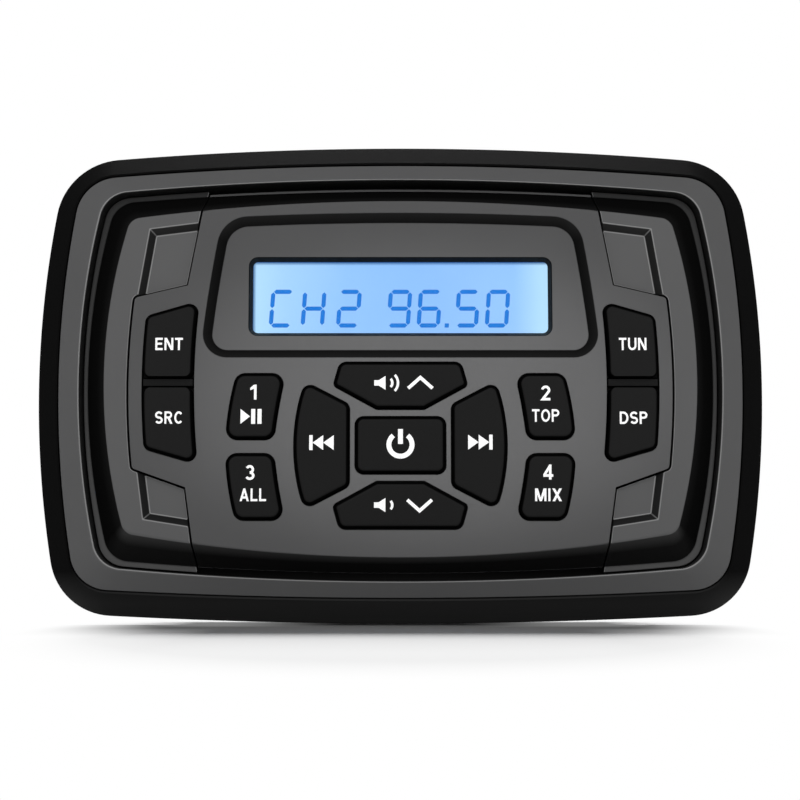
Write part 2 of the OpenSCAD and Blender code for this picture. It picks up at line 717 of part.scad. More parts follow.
single_shapes = [power_shape, next_shape, flip_shape(next_shape), volume_up_shape, volume_down_shape,
  key_2_shape, flip_shape(key_2_shape), key_4_shape, flip_shape(key_4_shape)];
strip_shape = [strip_points, strip_radii, [strip_stem_x, strip_z]];
opening_shapes = concat(single_shapes, [strip_shape, flip_shape(strip_shape)]);
stem_at = concat(
  [for (s = single_shapes) s[2]],
  [for (sx = [-1, 1]) for (sz = [-1, 1]) [sx * strip_stem_x, strip_z + sz * strip_stem_z]]);

// Solid helpers
// Plan shapes between two heights
module slab(h0, h1) {
  translate([0, -h0, 0]) rotate([90, 0, 0]) linear_extrude(h1 - h0) children();
}

// Round post between two heights
module post(at, r, h0, h1) {
  translate([at[0], -h0, at[1]]) rotate([90, 0, 0]) cylinder(r = r, h = h1 - h0);
}

// Round post between two depths
module rear_post(at, r, y0, y1) {
  post(at, r, -y1, -y0);
}

// Box between two depths
module rear_box(x, y, z) {
  translate([x[0], y[0], z[0]]) cube([x[1] - x[0], y[1] - y[0], z[1] - z[0]]);
}

// Box between two heights
module front_box(x, h, z) {
  rear_box(x, [-h[1], -h[0]], z);
}

// Solid through outlines of equal length, each with its height
module loft(levels) {
  n = len(levels[0][0]);
  m = len(levels);
  points = [for (l = levels) for (p = l[0]) [p[0], -l[1], p[1]]];
  sides = [for (i = [0:m - 2]) for (j = [0:n - 1])
    let (a = i * n + j, b = i * n + (j + 1) % n)
    each [[a, a + n, b + n], [a, b + n, b]]];
  caps = [[for (j = [0:n - 1]) j], [for (j = [n - 1:-1:0]) (m - 1) * n + j]];
  polyhedron(points, concat(sides, caps));
}

// Screw along the depth, with its head's seat at y and its shank running forwards
module front_screw(at, y, l) {
  rear_post(at, head_r, y, y + head_t);
  rear_post(at, screw_r, y - l, y);
}

// Raised face that the panel and the trims are cut from
module raised_face() {
  loft([
    [bowed(foot_line), floor_t],
    [bowed(foot_line), lip_h],
    [bowed(face_line, face_edge), face_top - face_edge],
    [bowed(face_line), face_top]]);
}

module outer_frame() {
  color(black) difference() {
    union() {
      difference() {
        loft([
          [bowed(frame_line, -seat_chamfer), 0],
          [bowed(frame_line), seat_chamfer],
          [bowed(frame_line), edge_h],
          [bowed(frame_line, band_land - band_w), band_h]]);
        slab(floor_t, band_h + over) polygon(bowed(frame_line, -band_w));
      }
      for (at = column_at) post(at, boss_r, rim_d, plate_h - boss_r);
    }
    slab(-over, rim_d) polygon(housing_line(-rim_gap));
    slab(-over, floor_t + over) polygon(box_line(opening_hw, -opening_hh, opening_hh, housing_r));
    slab(-over, gasket_t) difference() {
      polygon(bowed(frame_line, -gasket_in));
      polygon(bowed(frame_line, -gasket_in - gasket_w));
    }
    for (at = mount_at) {
      post(at, mount_hole_r, -over, floor_t + over);
      translate([at[0], mount_sink_d - floor_t, at[1]]) rotate([90, 0, 0])
        cylinder(r1 = mount_hole_r, r2 = mount_sink_r, h = mount_sink_d);
    }
    for (at = column_at) post(at, screw_r + pilot_gap, 0, plate_h - boss_r - screw_r);
    for (at = panel_boss_at) post(at, screw_r + clear_gap, 0, floor_t + over);
    for (sx = [-1, 1]) for (at = peg_at)
      post([sx * at[0], at[1]], peg_r + peg_gap, rim_d, floor_t + over);
  }
}

module front_ring() {
  out = band_w + seam_gap;
  top = band_h + ring_rise;
  past = over * ring_rise / ring_end_w;
  color(ring_gray) difference() {
    loft([
      [bowed(frame_line, -out), floor_t],
      [bowed(frame_line, -out), band_h],
      [bowed(ring_line, -over), top + past]]);
    slab(floor_t - over, top + over) polygon(bowed(ring_line));
    slab(floor_t - over, band_h - ring_wall) difference() {
      polygon(bowed(frame_line, -out - ring_wall));
      polygon(bowed(ring_line, ring_wall));
    }
  }
}

// Thick part of the panel behind the display surround
module display_boss(d) {
  slab(window_h - d, plate_h + over) polygon(recess_edge(-recess_wall - d));
}

module face_panel() {
  color(face_gray) difference() {
    intersection() {
      raised_face();
      slab(0, face_top + over) polygon(panel_edge());
    }
    difference() {
      intersection() {
        slab(0, plate_h) polygon(bowed(face_line, -panel_wall));
        slab(0, plate_h) polygon(panel_edge(skirt_t));
      }
      display_boss(0);
      for (at = panel_boss_at) post(at, boss_r, floor_t, plate_h + over);
    }
    loft([
      [recess_edge(recess_run), sunk_h],
      [recess_edge(), face_top],
      [recess_edge(), face_top + over]]);
    slab(0, face_top) polygon(box_line(window_hw, window_z0, window_z1, window_r));
    for (s = opening_shapes) slab(floor_t, face_top + over) polygon(rounded(s[0], s[1]));
    for (at = panel_boss_at) post(at, screw_r + pilot_gap, 0, plate_h - screw_r);
  }
}

// Sunken corner tile with two sloping walls, cut a little past the seams
module tile_cut(x, z, up, slope) {
  far_x = wing_root_x - 8;
  far_z = wing_z;
  side_x = x + tile_lean * abs(z - far_z);
  end_z = z + up * slope * (x - far_x);
  corners = [[far_x, far_z], [side_x, far_z], [x, z], [far_x, end_z]];
  pts = up > 0 ? corners : turn_list(corners);
  loft([
    [inset(pts, tile_run), face_top - tile_d],
    [pts, face_top],
    [pts, face_top + over]]);
}

module trim(side) {
  inner_h = face_top - trim_t;
  color(face_gray) mirror([side < 0 ? 1 : 0, 0, 0]) difference() {
    union() {
      difference() {
        raised_face();
        loft([
          [bowed(foot_line, -trim_wall), floor_t - over],
          [bowed(foot_line, -trim_wall), lip_h - trim_wall / 2],
          [bowed(face_line, -trim_wall / 2), inner_h]]);
      }
      slab(lip_h - lip_t, lip_h) difference() {
        polygon(bowed(ring_line, -lip_gap));
        polygon(bowed(foot_line, -trim_wall / 2));
      }
      for (at = peg_at) post(at, peg_r, rim_d + peg_gap, inner_h + trim_wall / 2);
    }
    slab(0, face_top + over) polygon(panel_edge(-part_gap));
    tile_cut(tile_up_x, tile_up_z, 1, tile_slope);
    tile_cut(tile_low_x, tile_low_z, -1, tile_low_slope);
    front_box([-face_w, 0], [0, face_top + over], [-face_h, face_h]);
  }
}

module left_trim() {
  trim(-1);
}

module right_trim() {
  trim(1);
}

holder_lap = lcd_lap + clear_gap + lcd_wall; // reach of the display holder past the window

// Rectangle behind the window, grown by d
module window_plate(d, h0, h1) {
  front_box([-window_hw - d, window_hw + d], [h0, h1], [window_z0 - d, window_z1 + d]);
}

module display_lens() {
  color("#9fb4c4", 0.4) window_plate(lens_lap, lens_h, window_h);
}

module lcd_glass() {
  color("#8cc4ff") window_plate(lcd_lap, lcd_h - lcd_t, lcd_h);
}

module lcd_frame() {
  color(black) difference() {
    window_plate(holder_lap, board_h, lens_h);
    window_plate(lcd_lap + board_gap, board_h - over, lcd_h);
    window_plate(clear_gap, board_h - over, lens_h + over);
  }
}

module backlight() {
  color("#f2f4f6") front_box([-window_hw, window_hw], [board_h, lcd_h - lcd_t],
    [window_z0 - lcd_lap + zebra_w + board_gap, window_z1 + lcd_lap - zebra_w - board_gap]);
}

module zebra_strips() {
  color("#d9a7b0") for (z = [window_z0 - lcd_lap, window_z1 + lcd_lap - zebra_w])
    front_box([-window_hw, window_hw], [board_h, lcd_h - lcd_t], [z, z + zebra_w]);
}

// Parts of a key: a chamfered cap, a lip behind the panel and a stem
module key_cap(shape) {
  wide = rounded(shape[0], shape[1], key_gap);
  loft([
    [wide, lip_top_h],
    [wide, key_top - key_edge],
    [rounded(shape[0], shape[1], key_gap + key_edge), key_top]]);
}

module key_lip_plate(shape) {
  slab(lip_back_h, lip_top_h) polygon(rounded(shape[0], shape[1], -key_lip));
}

module key_stem(at) {
  post(at, key_stem_r, stem_h, lip_back_h);
}

// Points of a side key: the upper or lower half of the side opening, up to the bridge
function half_strip(up) = let (cut = strip_z + up * bridge_hw)
  let (in_mid = [strip_in_x + strip_in_bow, cut], out_mid = [strip_out_x + strip_out_bow, cut])
  let (out_far = up > 0 ? strip_out_high : strip_out_low)
  let (in_far = up > 0 ? strip_in_high : strip_in_low)
  let (pts = concat(
    [in_mid, out_mid],
    bow(out_mid, out_far, up * strip_out_bow / 4, 3),
    [out_far, in_far],
    bow(in_far, in_mid, -up * strip_in_bow / 4, 3)))
  up > 0 ? pts : turn_list(pts);

module side_key(side, up) {
  pts = half_strip(up);
  radii = [for (p = pts)
    min([for (c = strip_corners) norm(p - c)]) < 0.01
      ? key_r : abs(p[1] - strip_z) < bridge_hw + 0.01 ? key_small_r : 0];
  room = bridge_hw + 2 * key_gap;
  color(key_black) mirror([side < 0 ? 1 : 0, 0, 0]) union() {
    key_cap([pts, radii]);
    difference() {
      key_lip_plate([pts, radii]);
      front_box([0, face_w], [0, key_top], [strip_z - room, strip_z + room]);
    }
    key_stem([strip_stem_x, strip_z + up * strip_stem_z]);
  }
}

module left_upper_key() {
  side_key(-1, 1);
}

module left_lower_key() {
  side_key(-1, -1);
}

module right_upper_key() {
  side_key(1, 1);
}

module right_lower_key() {
  side_key(1, -1);
}

module single_key(shape) {
  color(key_black) union() {
    key_cap(shape);
    key_lip_plate(shape);
    key_stem(shape[2]);
  }
}

module key_1() {
  single_key(flip_shape(key_2_shape));
}

module key_2() {
  single_key(key_2_shape);
}

module key_3() {
  single_key(flip_shape(key_4_shape));
}

module key_4() {
  single_key(key_4_shape);
}

module volume_up_key() {
  single_key(volume_up_shape);
}

module volume_down_key() {
  single_key(volume_down_shape);
}

module previous_key() {
  single_key(flip_shape(next_shape));
}

module next_key() {
  single_key(next_shape);
}

module power_key() {
  single_key(power_shape);
}

// Room that the key board fills inside the panel, drawn in by d
module board_room(d, h0, h1, z1) {
  intersection() {
    slab(h0, h1) polygon(panel_edge(skirt_t + board_gap + d));
    slab(h0, h1) polygon(bowed(face_line, -panel_wall - board_gap - d));
    front_box([-face_w, face_w], [h0, h1], [board_z0 + d, z1 - d]);
  }
}
board_z0 = cluster_z - volume_far_z - key_lip - board_over - mat_rim;
board_z1 = window_z1 + holder_lap + board_over;

// Room under the keys: the board's room without the display
module mat_room(d, h0, h1) {
  display_d = holder_lap + clear_gap;
  difference() {
    board_room(d, h0, h1, strip_z + strip_in_hh + key_lip + clear_gap + mat_rim);
    front_box([-window_hw - display_d - d, window_hw + display_d + d], [h0 - over, h1 + over],
      [window_z0 - display_d - d, face_h]);
  }
}

module keypad_mat() {
  sheet_h = mat_h - mat_t;
  bridge_x = [strip_in_x + strip_in_bow + key_gap, strip_out_x + strip_out_bow - key_gap];
  bridge_zs = [strip_z - bridge_hw, strip_z + bridge_hw];
  color("#2b2b2d") difference() {
    union() {
      difference() {
        mat_room(0, board_h, plate_h);
        mat_room(mat_rim, board_h - over, sheet_h);
        mat_room(mat_rim, mat_h, plate_h + over);
        display_boss(board_gap);
      }
      for (sx = [0, 1]) mirror([sx, 0, 0])
        front_box(bridge_x, [sheet_h, face_top - bridge_drop], bridge_zs);
    }
    for (at = stem_at) post(at, key_stem_r + key_gap, sheet_h - over, mat_h + over);
    for (at = panel_boss_at) post(at, boss_r + key_gap, 0, face_top);
  }
}

module key_board() {
  color(board_green) difference() {
    board_room(0, floor_t, board_h, board_z1);
    for (at = concat(panel_boss_at, column_at)) post(at, boss_r + key_gap, 0, face_top);
  }
}

module key_contacts() {
  color("#c9a24a") for (at = stem_at) post(at, key_stem_r, board_h, board_h + contact_t);
}

module key_leds() {
  out = key_stem_r + contact_t;
  color("#f4f1d8") for (at = stem_at)
    front_box([at[0] + out, at[0] + out + led_size], [board_h, board_h + led_t],
      [at[1] - led_size / 2, at[1] + led_size / 2]);
}

// Plug-in link between the boards: socket on the key board, header on the main board
link_z = [main_z, main_z + link_h];
tongue_z = [main_z + link_wall, main_z + link_h - link_wall];
socket_y = main_y0 - link_gap;

module board_socket() {
  color("#e8e4d8") difference() {
    rear_box([-link_w / 2, link_w / 2], [-floor_t, socket_y], link_z);
    rear_box([link_wall - link_w / 2, link_w / 2 - link_wall], [link_wall - floor_t, socket_y + over],
      tongue_z);
  }
}

module board_header() {
  half = link_w / 2 - link_wall - link_gap;
  tip_y = link_wall - floor_t + link_gap;
  color(black) union() {
    rear_box([-link_w / 2, link_w / 2], [main_y0, main_y0 + link_h], link_z);
    rear_box([-half, half], [tip_y, main_y0], [tongue_z[0] + link_gap, tongue_z[1] - link_gap]);
  }
}

function housing_line(d = 0) = box_line(housing_w / 2, -housing_h / 2, housing_h / 2, housing_r, d);

module front_seal() {
  color("#3a3a3c") slab(-rim_y, rim_d) difference() {
    polygon(housing_line());
    polygon(housing_line(housing_wall));
  }
}

module panel_gasket() {
  color("#303032") slab(0, gasket_t) difference() {
    polygon(bowed(frame_line, -gasket_in - gasket_gap));
    polygon(bowed(frame_line, gasket_gap - gasket_in - gasket_w));
  }
}

// Holes in the back wall for the rear connections and for the heat sink's pedestal
module connector_holes(y0, y1) {
  g = connector_gap;
  z = [main_under - connector_h - g, main_under + g];
  rear_box([harness_x - harness_w / 2 - g, harness_x + harness_w / 2 + g], [y0, y1], z);
  rear_box([fuse_x - fuse_w / 2 - g, fuse_x + fuse_w / 2 + g], [y0, y1], z);
  rear_post([antenna_x, connector_z], antenna_r + g, y0, y1);
  for (at = line_at) rear_post(at, line_collar_r + g, y0, y1);
  rear_box([-pedestal_hw - g, pedestal_hw + g], [y0, y1], [sink_z0 + 2 - g, pedestal_z1 + g]);
}
pedestal_z1 = main_z + chip_lift + chip_h;

module rear_housing() {
  rib_half = floor((housing_w / 2 - 2 * housing_r) / rib_pitch);
  color(black) difference() {
    union() {
      difference() {
        slab(-housing_d, -rim_y) polygon(housing_line());
        slab(-back_y, over - rim_y) polygon(housing_line(housing_wall));
      }
      intersection() {
        for (at = column_at) rear_post(at, column_r, rim_y, housing_d);
        slab(-housing_d, -rim_y) polygon(housing_line());
      }
      for (sx = [0, 1]) mirror([sx, 0, 0])
        rear_box([inner_hw - rail_w, inner_hw + over], [main_y0, rail_end],
          [main_under - rail_t, main_under]);
      rear_post([0, support_z], support_r + support_wall + support_boss, housing_d - support_l, housing_d);
      for (k = [-rib_half:rib_half]) for (s = [-1, 1])
        rear_box([k * rib_pitch - rib_w / 2, k * rib_pitch + rib_w / 2], [rib_pitch, housing_d],
          [s * housing_h / 2 - rib_t, s * housing_h / 2 + rib_t]);
    }
    connector_holes(back_y - over, housing_d + over);
    for (at = column_at) {
      rear_post(at, head_r + clear_gap, column_seat, housing_d + over);
      rear_post(at, screw_r + clear_gap, rim_y - over, housing_d);
    }
    for (at = sink_screw_at) rear_post(at, screw_r + pilot_gap, back_y - over, housing_d + over);
    for (at = board_screw_at)
      translate([at[0], at[1], main_under - rail_t - over])
        cylinder(r = screw_r + pilot_gap, h = rail_t + 2 * over);
    rear_post([0, support_z], support_r + support_wall, housing_d - support_l, housing_d + over);
  }
}

module heat_sink() {
  n = floor((sink_w - fin_t) / fin_pitch);
  first = -n * fin_pitch / 2;
  fin_y = housing_d + sink_t;
  color(metal) difference() {
    union() {
      rear_box([-sink_w / 2, sink_w / 2], [housing_d, fin_y], [sink_z0, sink_z1]);
      rear_box([-pedestal_hw, pedestal_hw], [chip_y, housing_d], [sink_z0 + 2, pedestal_z1]);
      for (k = [0:n])
        rear_box([first + k * fin_pitch - fin_t / 2, first + k * fin_pitch + fin_t / 2],
          [fin_y, fin_y + fin_l], [sink_z0, sink_z1]);
    }
    for (at = sink_screw_at) {
      rear_post(at, screw_r + clear_gap, housing_d - over, fin_y + over);
      rear_post(at, head_r + clear_gap, fin_y, fin_y + fin_l + over);
    }
    for (s = [-1, 1]) rear_post([s * clamp_screw_x, clamp_z], screw_r + pilot_gap, chip_y - over, housing_d);
  }
}
clamp_screw_x = chip_w / 2 + head_r + clear_gap;
clamp_z = main_z + chip_lift + chip_h / 2;

module main_board() {
  color(board_green) difference() {
    rear_box([-main_hw, main_hw], [main_y0, back_y], [main_under, main_z]);
    for (at = board_screw_at)
      translate([at[0], at[1], main_under - over]) cylinder(r = screw_r + clear_gap, h = board_t + 2 * over);
  }
}

module amplifier_chip() {
  lead_y = chip_y - chip_t / 2;
  color("#2a2a2c") union() {
    rear_box([-chip_w / 2, chip_w / 2], [chip_y - chip_t, chip_y],
      [main_z + chip_lift, main_z + chip_lift + chip_h]);
    for (k = [0:chip_leads - 1]) {
      x = (k - (chip_leads - 1) / 2) * lead_pitch;
      rear_box([x - lead_w / 2, x + lead_w / 2], [lead_y - lead_w / 2, lead_y + lead_w / 2],
        [main_z, main_z + chip_lift]);
    }
  }
}

module chip_clamp() {
  half = clamp_screw_x + head_r + clear_gap;
  y = chip_y - chip_t;
  color(metal) difference() {
    rear_box([-half, half], [y - clamp_t, y], [clamp_z - clamp_h / 2, clamp_z + clamp_h / 2]);
    for (s = [-1, 1])
      rear_post([s * clamp_screw_x, clamp_z], screw_r + clear_gap, y - clamp_t - over, y + over);
  }
}

// Places on the main board, as x and y, with a space between them
part_front_y = main_y0 + link_h + part_space;
part_y = part_front_y + cap_r;
choke_r = choke_ring_r + choke_wire_r;
choke_at = [rail_x - head_r - part_space - choke_r, part_front_y + cap_r + part_space];
cap_x = main_hw - 2 * cap_r;
cap_at = [[-cap_x, part_y], [2 * cap_r + part_space - cap_x, part_y],
  [choke_at[0] - choke_r - cap_r - part_space, part_y]];
tuner_at = [tuner_w / 2 + 2 * part_space - main_hw, back_y - tuner_l - part_space];
module_at = [0, part_front_y + module_l / 2];
regulator_at = [choke_at[0] - regulator_w / 2, back_y - regulator_l - part_space];

module filter_capacitors() {
  color("#26303a") for (at = cap_at) translate([at[0], at[1], main_z]) cylinder(r = cap_r, h = cap_h);
}

module choke_coil() {
  color("#b87333") translate([choke_at[0], choke_at[1], main_z + choke_wire_r])
    rotate_extrude() translate([choke_ring_r, 0]) circle(r = choke_wire_r);
}

module tuner_module() {
  color(metal) rear_box([tuner_at[0] - tuner_w / 2, tuner_at[0] + tuner_w / 2],
    [tuner_at[1], tuner_at[1] + tuner_l], [main_z, main_z + tuner_h]);
}

module radio_module() {
  color(metal) rear_box([module_at[0] - module_w / 2, module_at[0] + module_w / 2],
    [module_at[1] - module_l / 2, module_at[1] + module_l / 2], [main_z, main_z + module_h]);
}

module voltage_regulator() {
  color("#2a2a2c") rear_box([regulator_at[0] - regulator_w / 2, regulator_at[0] + regulator_w / 2],
    [regulator_at[1], regulator_at[1] + regulator_l], [main_z, main_z + regulator_h]);
}

connector_zs = [main_under - connector_h, main_under];
pin_y = connector_y + harness_wall * 3; // floor of the harness socket

module harness_socket() {
  color("#dedcd2") difference() {
    rear_box([harness_x - harness_w / 2, harness_x + harness_w / 2],
      [connector_y, housing_d + connector_out], connector_zs);
    rear_box([harness_x - harness_w / 2 + harness_wall, harness_x + harness_w / 2 - harness_wall],
      [pin_y, housing_d + connector_out + over],
      [connector_zs[0] + harness_wall, connector_zs[1] - harness_wall]);
  }
}

module harness_pins() {
  color(metal) for (k = [0:harness_pins_n - 1]) for (s = [-1, 1]) {
    x = harness_x + (k - (harness_pins_n - 1) / 2) * harness_pitch;
    z = connector_z + s * harness_pitch / 2;
    rear_box([x - harness_pin_w / 2, x + harness_pin_w / 2], [pin_y, pin_y + harness_pin_l],
      [z - harness_pin_w / 2, z + harness_pin_w / 2]);
  }
}

antenna_end = housing_d + connector_out;
antenna_at = [antenna_x, connector_z];

module antenna_socket() {
  floor_y = antenna_end - antenna_bore_l;
  color("#c7c9cc") difference() {
    union() {
      rear_box([antenna_x - antenna_r, antenna_x + antenna_r], [connector_y, back_y], connector_zs);
      rear_post(antenna_at, antenna_r, back_y, antenna_end);
    }
    rear_post(antenna_at, antenna_bore_r, floor_y, antenna_end + over);
    rear_post(antenna_at, antenna_pin_r + pilot_gap, floor_y - antenna_pin_l, antenna_end);
  }
}

module antenna_contact() {
  floor_y = antenna_end - antenna_bore_l;
  color("#c9a24a") difference() {
    rear_post(antenna_at, antenna_pin_r, floor_y - antenna_pin_l, floor_y);
    rear_post(antenna_at, antenna_pin_r - antenna_pin_wall, floor_y - antenna_pin_l - over, floor_y + over);
  }
}

line_at = [for (s = [-1, 1]) [line_x + s * line_pitch / 2, connector_z]];
line_end = housing_d + line_l;

module line_block() {
  color(black) rear_box([line_x - line_w / 2, line_x + line_w / 2], [connector_y, back_y], connector_zs);
}

module line_sockets() {
  color(metal) for (at = line_at) difference() {
    union() {
      rear_post(at, line_collar_r, back_y, housing_d + line_collar_out);
      rear_post(at, line_r, back_y, line_end);
    }
    rear_post(at, line_r - line_wall, back_y - over, line_end + over);
  }
}

module line_cores() {
  color("#e6e6e2") for (at = line_at) difference() {
    rear_post(at, line_r - line_wall - pilot_gap, back_y, line_end);
    rear_post(at, line_bore_r, back_y - over, line_end + over);
  }
}

fuse_y = back_y - fuse_wall * 3; // floor of the fuse's slot
fuse_zs = [connector_z - connector_h / 4, connector_z + connector_h / 4];

module fuse_holder() {
  color(black) difference() {
    rear_box([fuse_x - fuse_w / 2, fuse_x + fuse_w / 2], [connector_y, housing_d + fuse_out], connector_zs);
    rear_box([fuse_x - fuse_w / 2 + fuse_wall, fuse_x + fuse_w / 2 - fuse_wall],
      [fuse_y, housing_d + fuse_out + over], fuse_zs);
  }
}

module blade_fuse() {
  half = fuse_w / 2 - fuse_wall - fuse_gap;
  blade = half / 3;
  z = [fuse_zs[0] + fuse_gap, fuse_zs[1] - fuse_gap];
  color("#d9a41e") union() {
    rear_box([fuse_x - half, fuse_x + half], [housing_d, housing_d + 2 * fuse_out], z);
    for (s = [-1, 1])
      rear_box([fuse_x + s * 2 * blade - blade, fuse_x + s * 2 * blade + blade], [fuse_y, housing_d],
        [connector_z - fuse_gap, connector_z + fuse_gap]);
  }
}

module support_insert() {
  color("#b8923c") difference() {
    rear_post([0, support_z], support_r + support_wall, housing_d - support_l, housing_d);
    rear_post([0, support_z], support_r, housing_d - support_l - over, housing_d + over);
  }
}

module panel_screws() {
  color(metal) for (at = panel_boss_at) front_screw(at, -rim_d, plate_h - 2 * screw_r - rim_d - over);
}

module housing_screws() {
  l = column_seat + plate_h - boss_r - 2 * screw_r - over;
  color(metal) for (at = column_at) front_screw(at, column_seat, l);
}

module heat_sink_screws() {
  color(metal) for (at = sink_screw_at) front_screw(at, housing_d + sink_t, sink_t + back_t);
}

module board_screws() {
  color(metal) for (at = board_screw_at) translate([at[0], at[1], main_z]) {
    cylinder(r = head_r, h = head_t);
    translate([0, 0, -board_t - rail_t]) cylinder(r = screw_r, h = board_t + rail_t);
  }
}

module clamp_screws() {
  y = chip_y - chip_t - clamp_t;
  color(metal) for (s = [-1, 1]) {
    rear_post([s * clamp_screw_x, clamp_z], head_r, y - head_t, y);
    rear_post([s * clamp_screw_x, clamp_z], screw_r, y, housing_d - over);
  }
}

outer_frame();
front_ring();
face_panel();
left_trim();
right_trim();
display_lens();
lcd_glass();
lcd_frame();
backlight();
zebra_strips();
left_upper_key();
left_lower_key();
right_upper_key();
right_lower_key();
key_1();
key_2();
key_3();
key_4();
volume_up_key();
volume_down_key();
previous_key();
next_key();
power_key();
keypad_mat();
key_board();
key_contacts();
key_leds();
board_socket();
board_header();
front_seal();
panel_gasket();
rear_housing();
heat_sink();
main_board();
amplifier_chip();
chip_clamp();
filter_capacitors();
choke_coil();
tuner_module();
radio_module();
voltage_regulator();
harness_socket();
harness_pins();
antenna_socket();
antenna_contact();
line_block();
line_sockets();
line_cores();
fuse_holder();
blade_fuse();
support_insert();
panel_screws();
housing_screws();
heat_sink_screws();
board_screws();
clamp_screws();
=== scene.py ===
import math

import bmesh
import bpy
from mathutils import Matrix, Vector
from mathutils.geometry import delaunay_2d_cdt


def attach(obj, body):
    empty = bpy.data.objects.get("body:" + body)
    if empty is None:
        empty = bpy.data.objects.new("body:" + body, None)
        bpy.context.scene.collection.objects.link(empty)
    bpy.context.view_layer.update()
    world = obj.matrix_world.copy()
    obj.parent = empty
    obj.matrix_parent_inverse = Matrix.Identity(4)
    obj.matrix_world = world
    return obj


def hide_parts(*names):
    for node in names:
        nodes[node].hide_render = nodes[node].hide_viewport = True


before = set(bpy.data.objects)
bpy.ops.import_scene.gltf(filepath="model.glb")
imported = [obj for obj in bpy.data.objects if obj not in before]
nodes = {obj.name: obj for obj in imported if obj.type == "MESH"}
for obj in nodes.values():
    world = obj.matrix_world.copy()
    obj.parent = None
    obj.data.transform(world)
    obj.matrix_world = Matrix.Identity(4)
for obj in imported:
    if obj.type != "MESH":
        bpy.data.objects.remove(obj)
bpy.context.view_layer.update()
mm = 0.001  # sizes below are in millimetres; a height is measured forwards from the panel seat
apart = 3  # how far off the next point of a straight run is, where only its direction counts
print("frame loaded:", len(nodes), "nodes")


# plan outlines, as (x, z) points that run anticlockwise seen from the front

def unitOf(dx, dz):
    length = math.hypot(dx, dz)
    return dx / length, dz / length


def leftNormal(a, b):
    dx, dz = unitOf(b[0] - a[0], b[1] - a[1])
    return -dz, dx


def between(a, b, t):  # the share t of the way from a to b
    return tuple(p + (q - p) * t for p, q in zip(a, b))


def insetLine(points, d):  # every edge moved inwards by d
    count = len(points)
    moved = []
    for i, p in enumerate(points):
        u = leftNormal(points[i - 1], p)
        v = leftNormal(p, points[(i + 1) % count])
        k = d / (1 + u[0] * v[0] + u[1] * v[1])
        moved.append((p[0] + k * (u[0] + v[0]), p[1] + k * (u[1] + v[1])))
    return moved


def arcPoints(c, r, start, end, steps):
    angles = [start + (end - start) * k / steps for k in range(steps + 1)]
    return [(c[0] + r * math.cos(t), c[1] + r * math.sin(t)) for t in angles]


def cornerArc(a, p, b, r, steps):  # arc that rounds the corner p between a and b
    u = unitOf(a[0] - p[0], a[1] - p[1])
    v = unitOf(b[0] - p[0], b[1] - p[1])
    half = math.acos(max(-1, min(1, u[0] * v[0] + u[1] * v[1]))) / 2
    m = unitOf(u[0] + v[0], u[1] + v[1])
    c = (p[0] + m[0] * r / math.sin(half), p[1] + m[1] * r / math.sin(half))
    s = (p[0] + u[0] * r / math.tan(half) - c[0], p[1] + u[1] * r / math.tan(half) - c[1])
    start = math.atan2(s[1], s[0])
    turn = (p[0] - a[0]) * (b[1] - p[1]) - (p[1] - a[1]) * (b[0] - p[0])
    return arcPoints(c, r, start, start + math.copysign(math.pi - 2 * half, turn), steps)


def roundCorners(points, radii, steps):  # corners with no radius stay sharp, as both ends of an open run do
    count = len(points)
    line = []
    for i, (p, r) in enumerate(zip(points, radii)):
        line += cornerArc(points[i - 1], p, points[(i + 1) % count], r, steps) if r > 0 else [p]
    return line


def roundLine(points, radii, d=0.0, steps=8, least=0.2):  # inset by d, then rounded
    return roundCorners(insetLine(points, d), [max(r - d, least) if r > 0 else 0 for r in radii], steps)


def bowPoints(p, q, sag, steps=12, clear=0.0):  # points between p and q on an edge that bows to the right
    nx, nz = leftNormal(p, q)
    shares = [k / steps for k in range(1, steps)]
    if clear:  # the ends stay free for a rounded corner
        shares = [clear + (1 - 2 * clear) * k / steps for k in range(steps + 1)]
    line = []
    for t in shares:
        x, z = between(p, q, t)
        line.append((x - nx * 4 * sag * t * (1 - t), z - nz * 4 * sag * t * (1 - t)))
    return line


def flipLine(points):
    return [(-x, z) for x, z in reversed(points)]


def turnOver(points, z0):
    return [(x, 2 * z0 - z) for x, z in reversed(points)]


def boxLine(halfWide, z0, z1, r, d=0.0):
    corners = [(-halfWide, z0), (halfWide, z0), (halfWide, z1), (-halfWide, z1)]
    return roundLine(corners, [r] * 4, d)


def circleLine(x, z, r, steps=40):
    return arcPoints((x, z), r, 0, 2 * math.pi, steps)[:-1]


# outlines with four bowed edges: half width, half height, side radius, end radius, corner radius
faceLines = {
    "frame": (82.5, 54.6, 235, 790, 15.4),
    "frameLow": (82.5, 54.6, 235, 1240, 14.5),  # the frame's lower half is a little fuller
    "ring": (71.8, 45.1, 170, 680, 6.6),
    "foot": (70.5, 43.35, 150, 740, 6),
    "face": (65.4, 39.4, 118, 410, 3),
    "faceLow": (65.4, 39.65, 118, 300, 3),  # the lower edge of panel and trims is bowed more
}


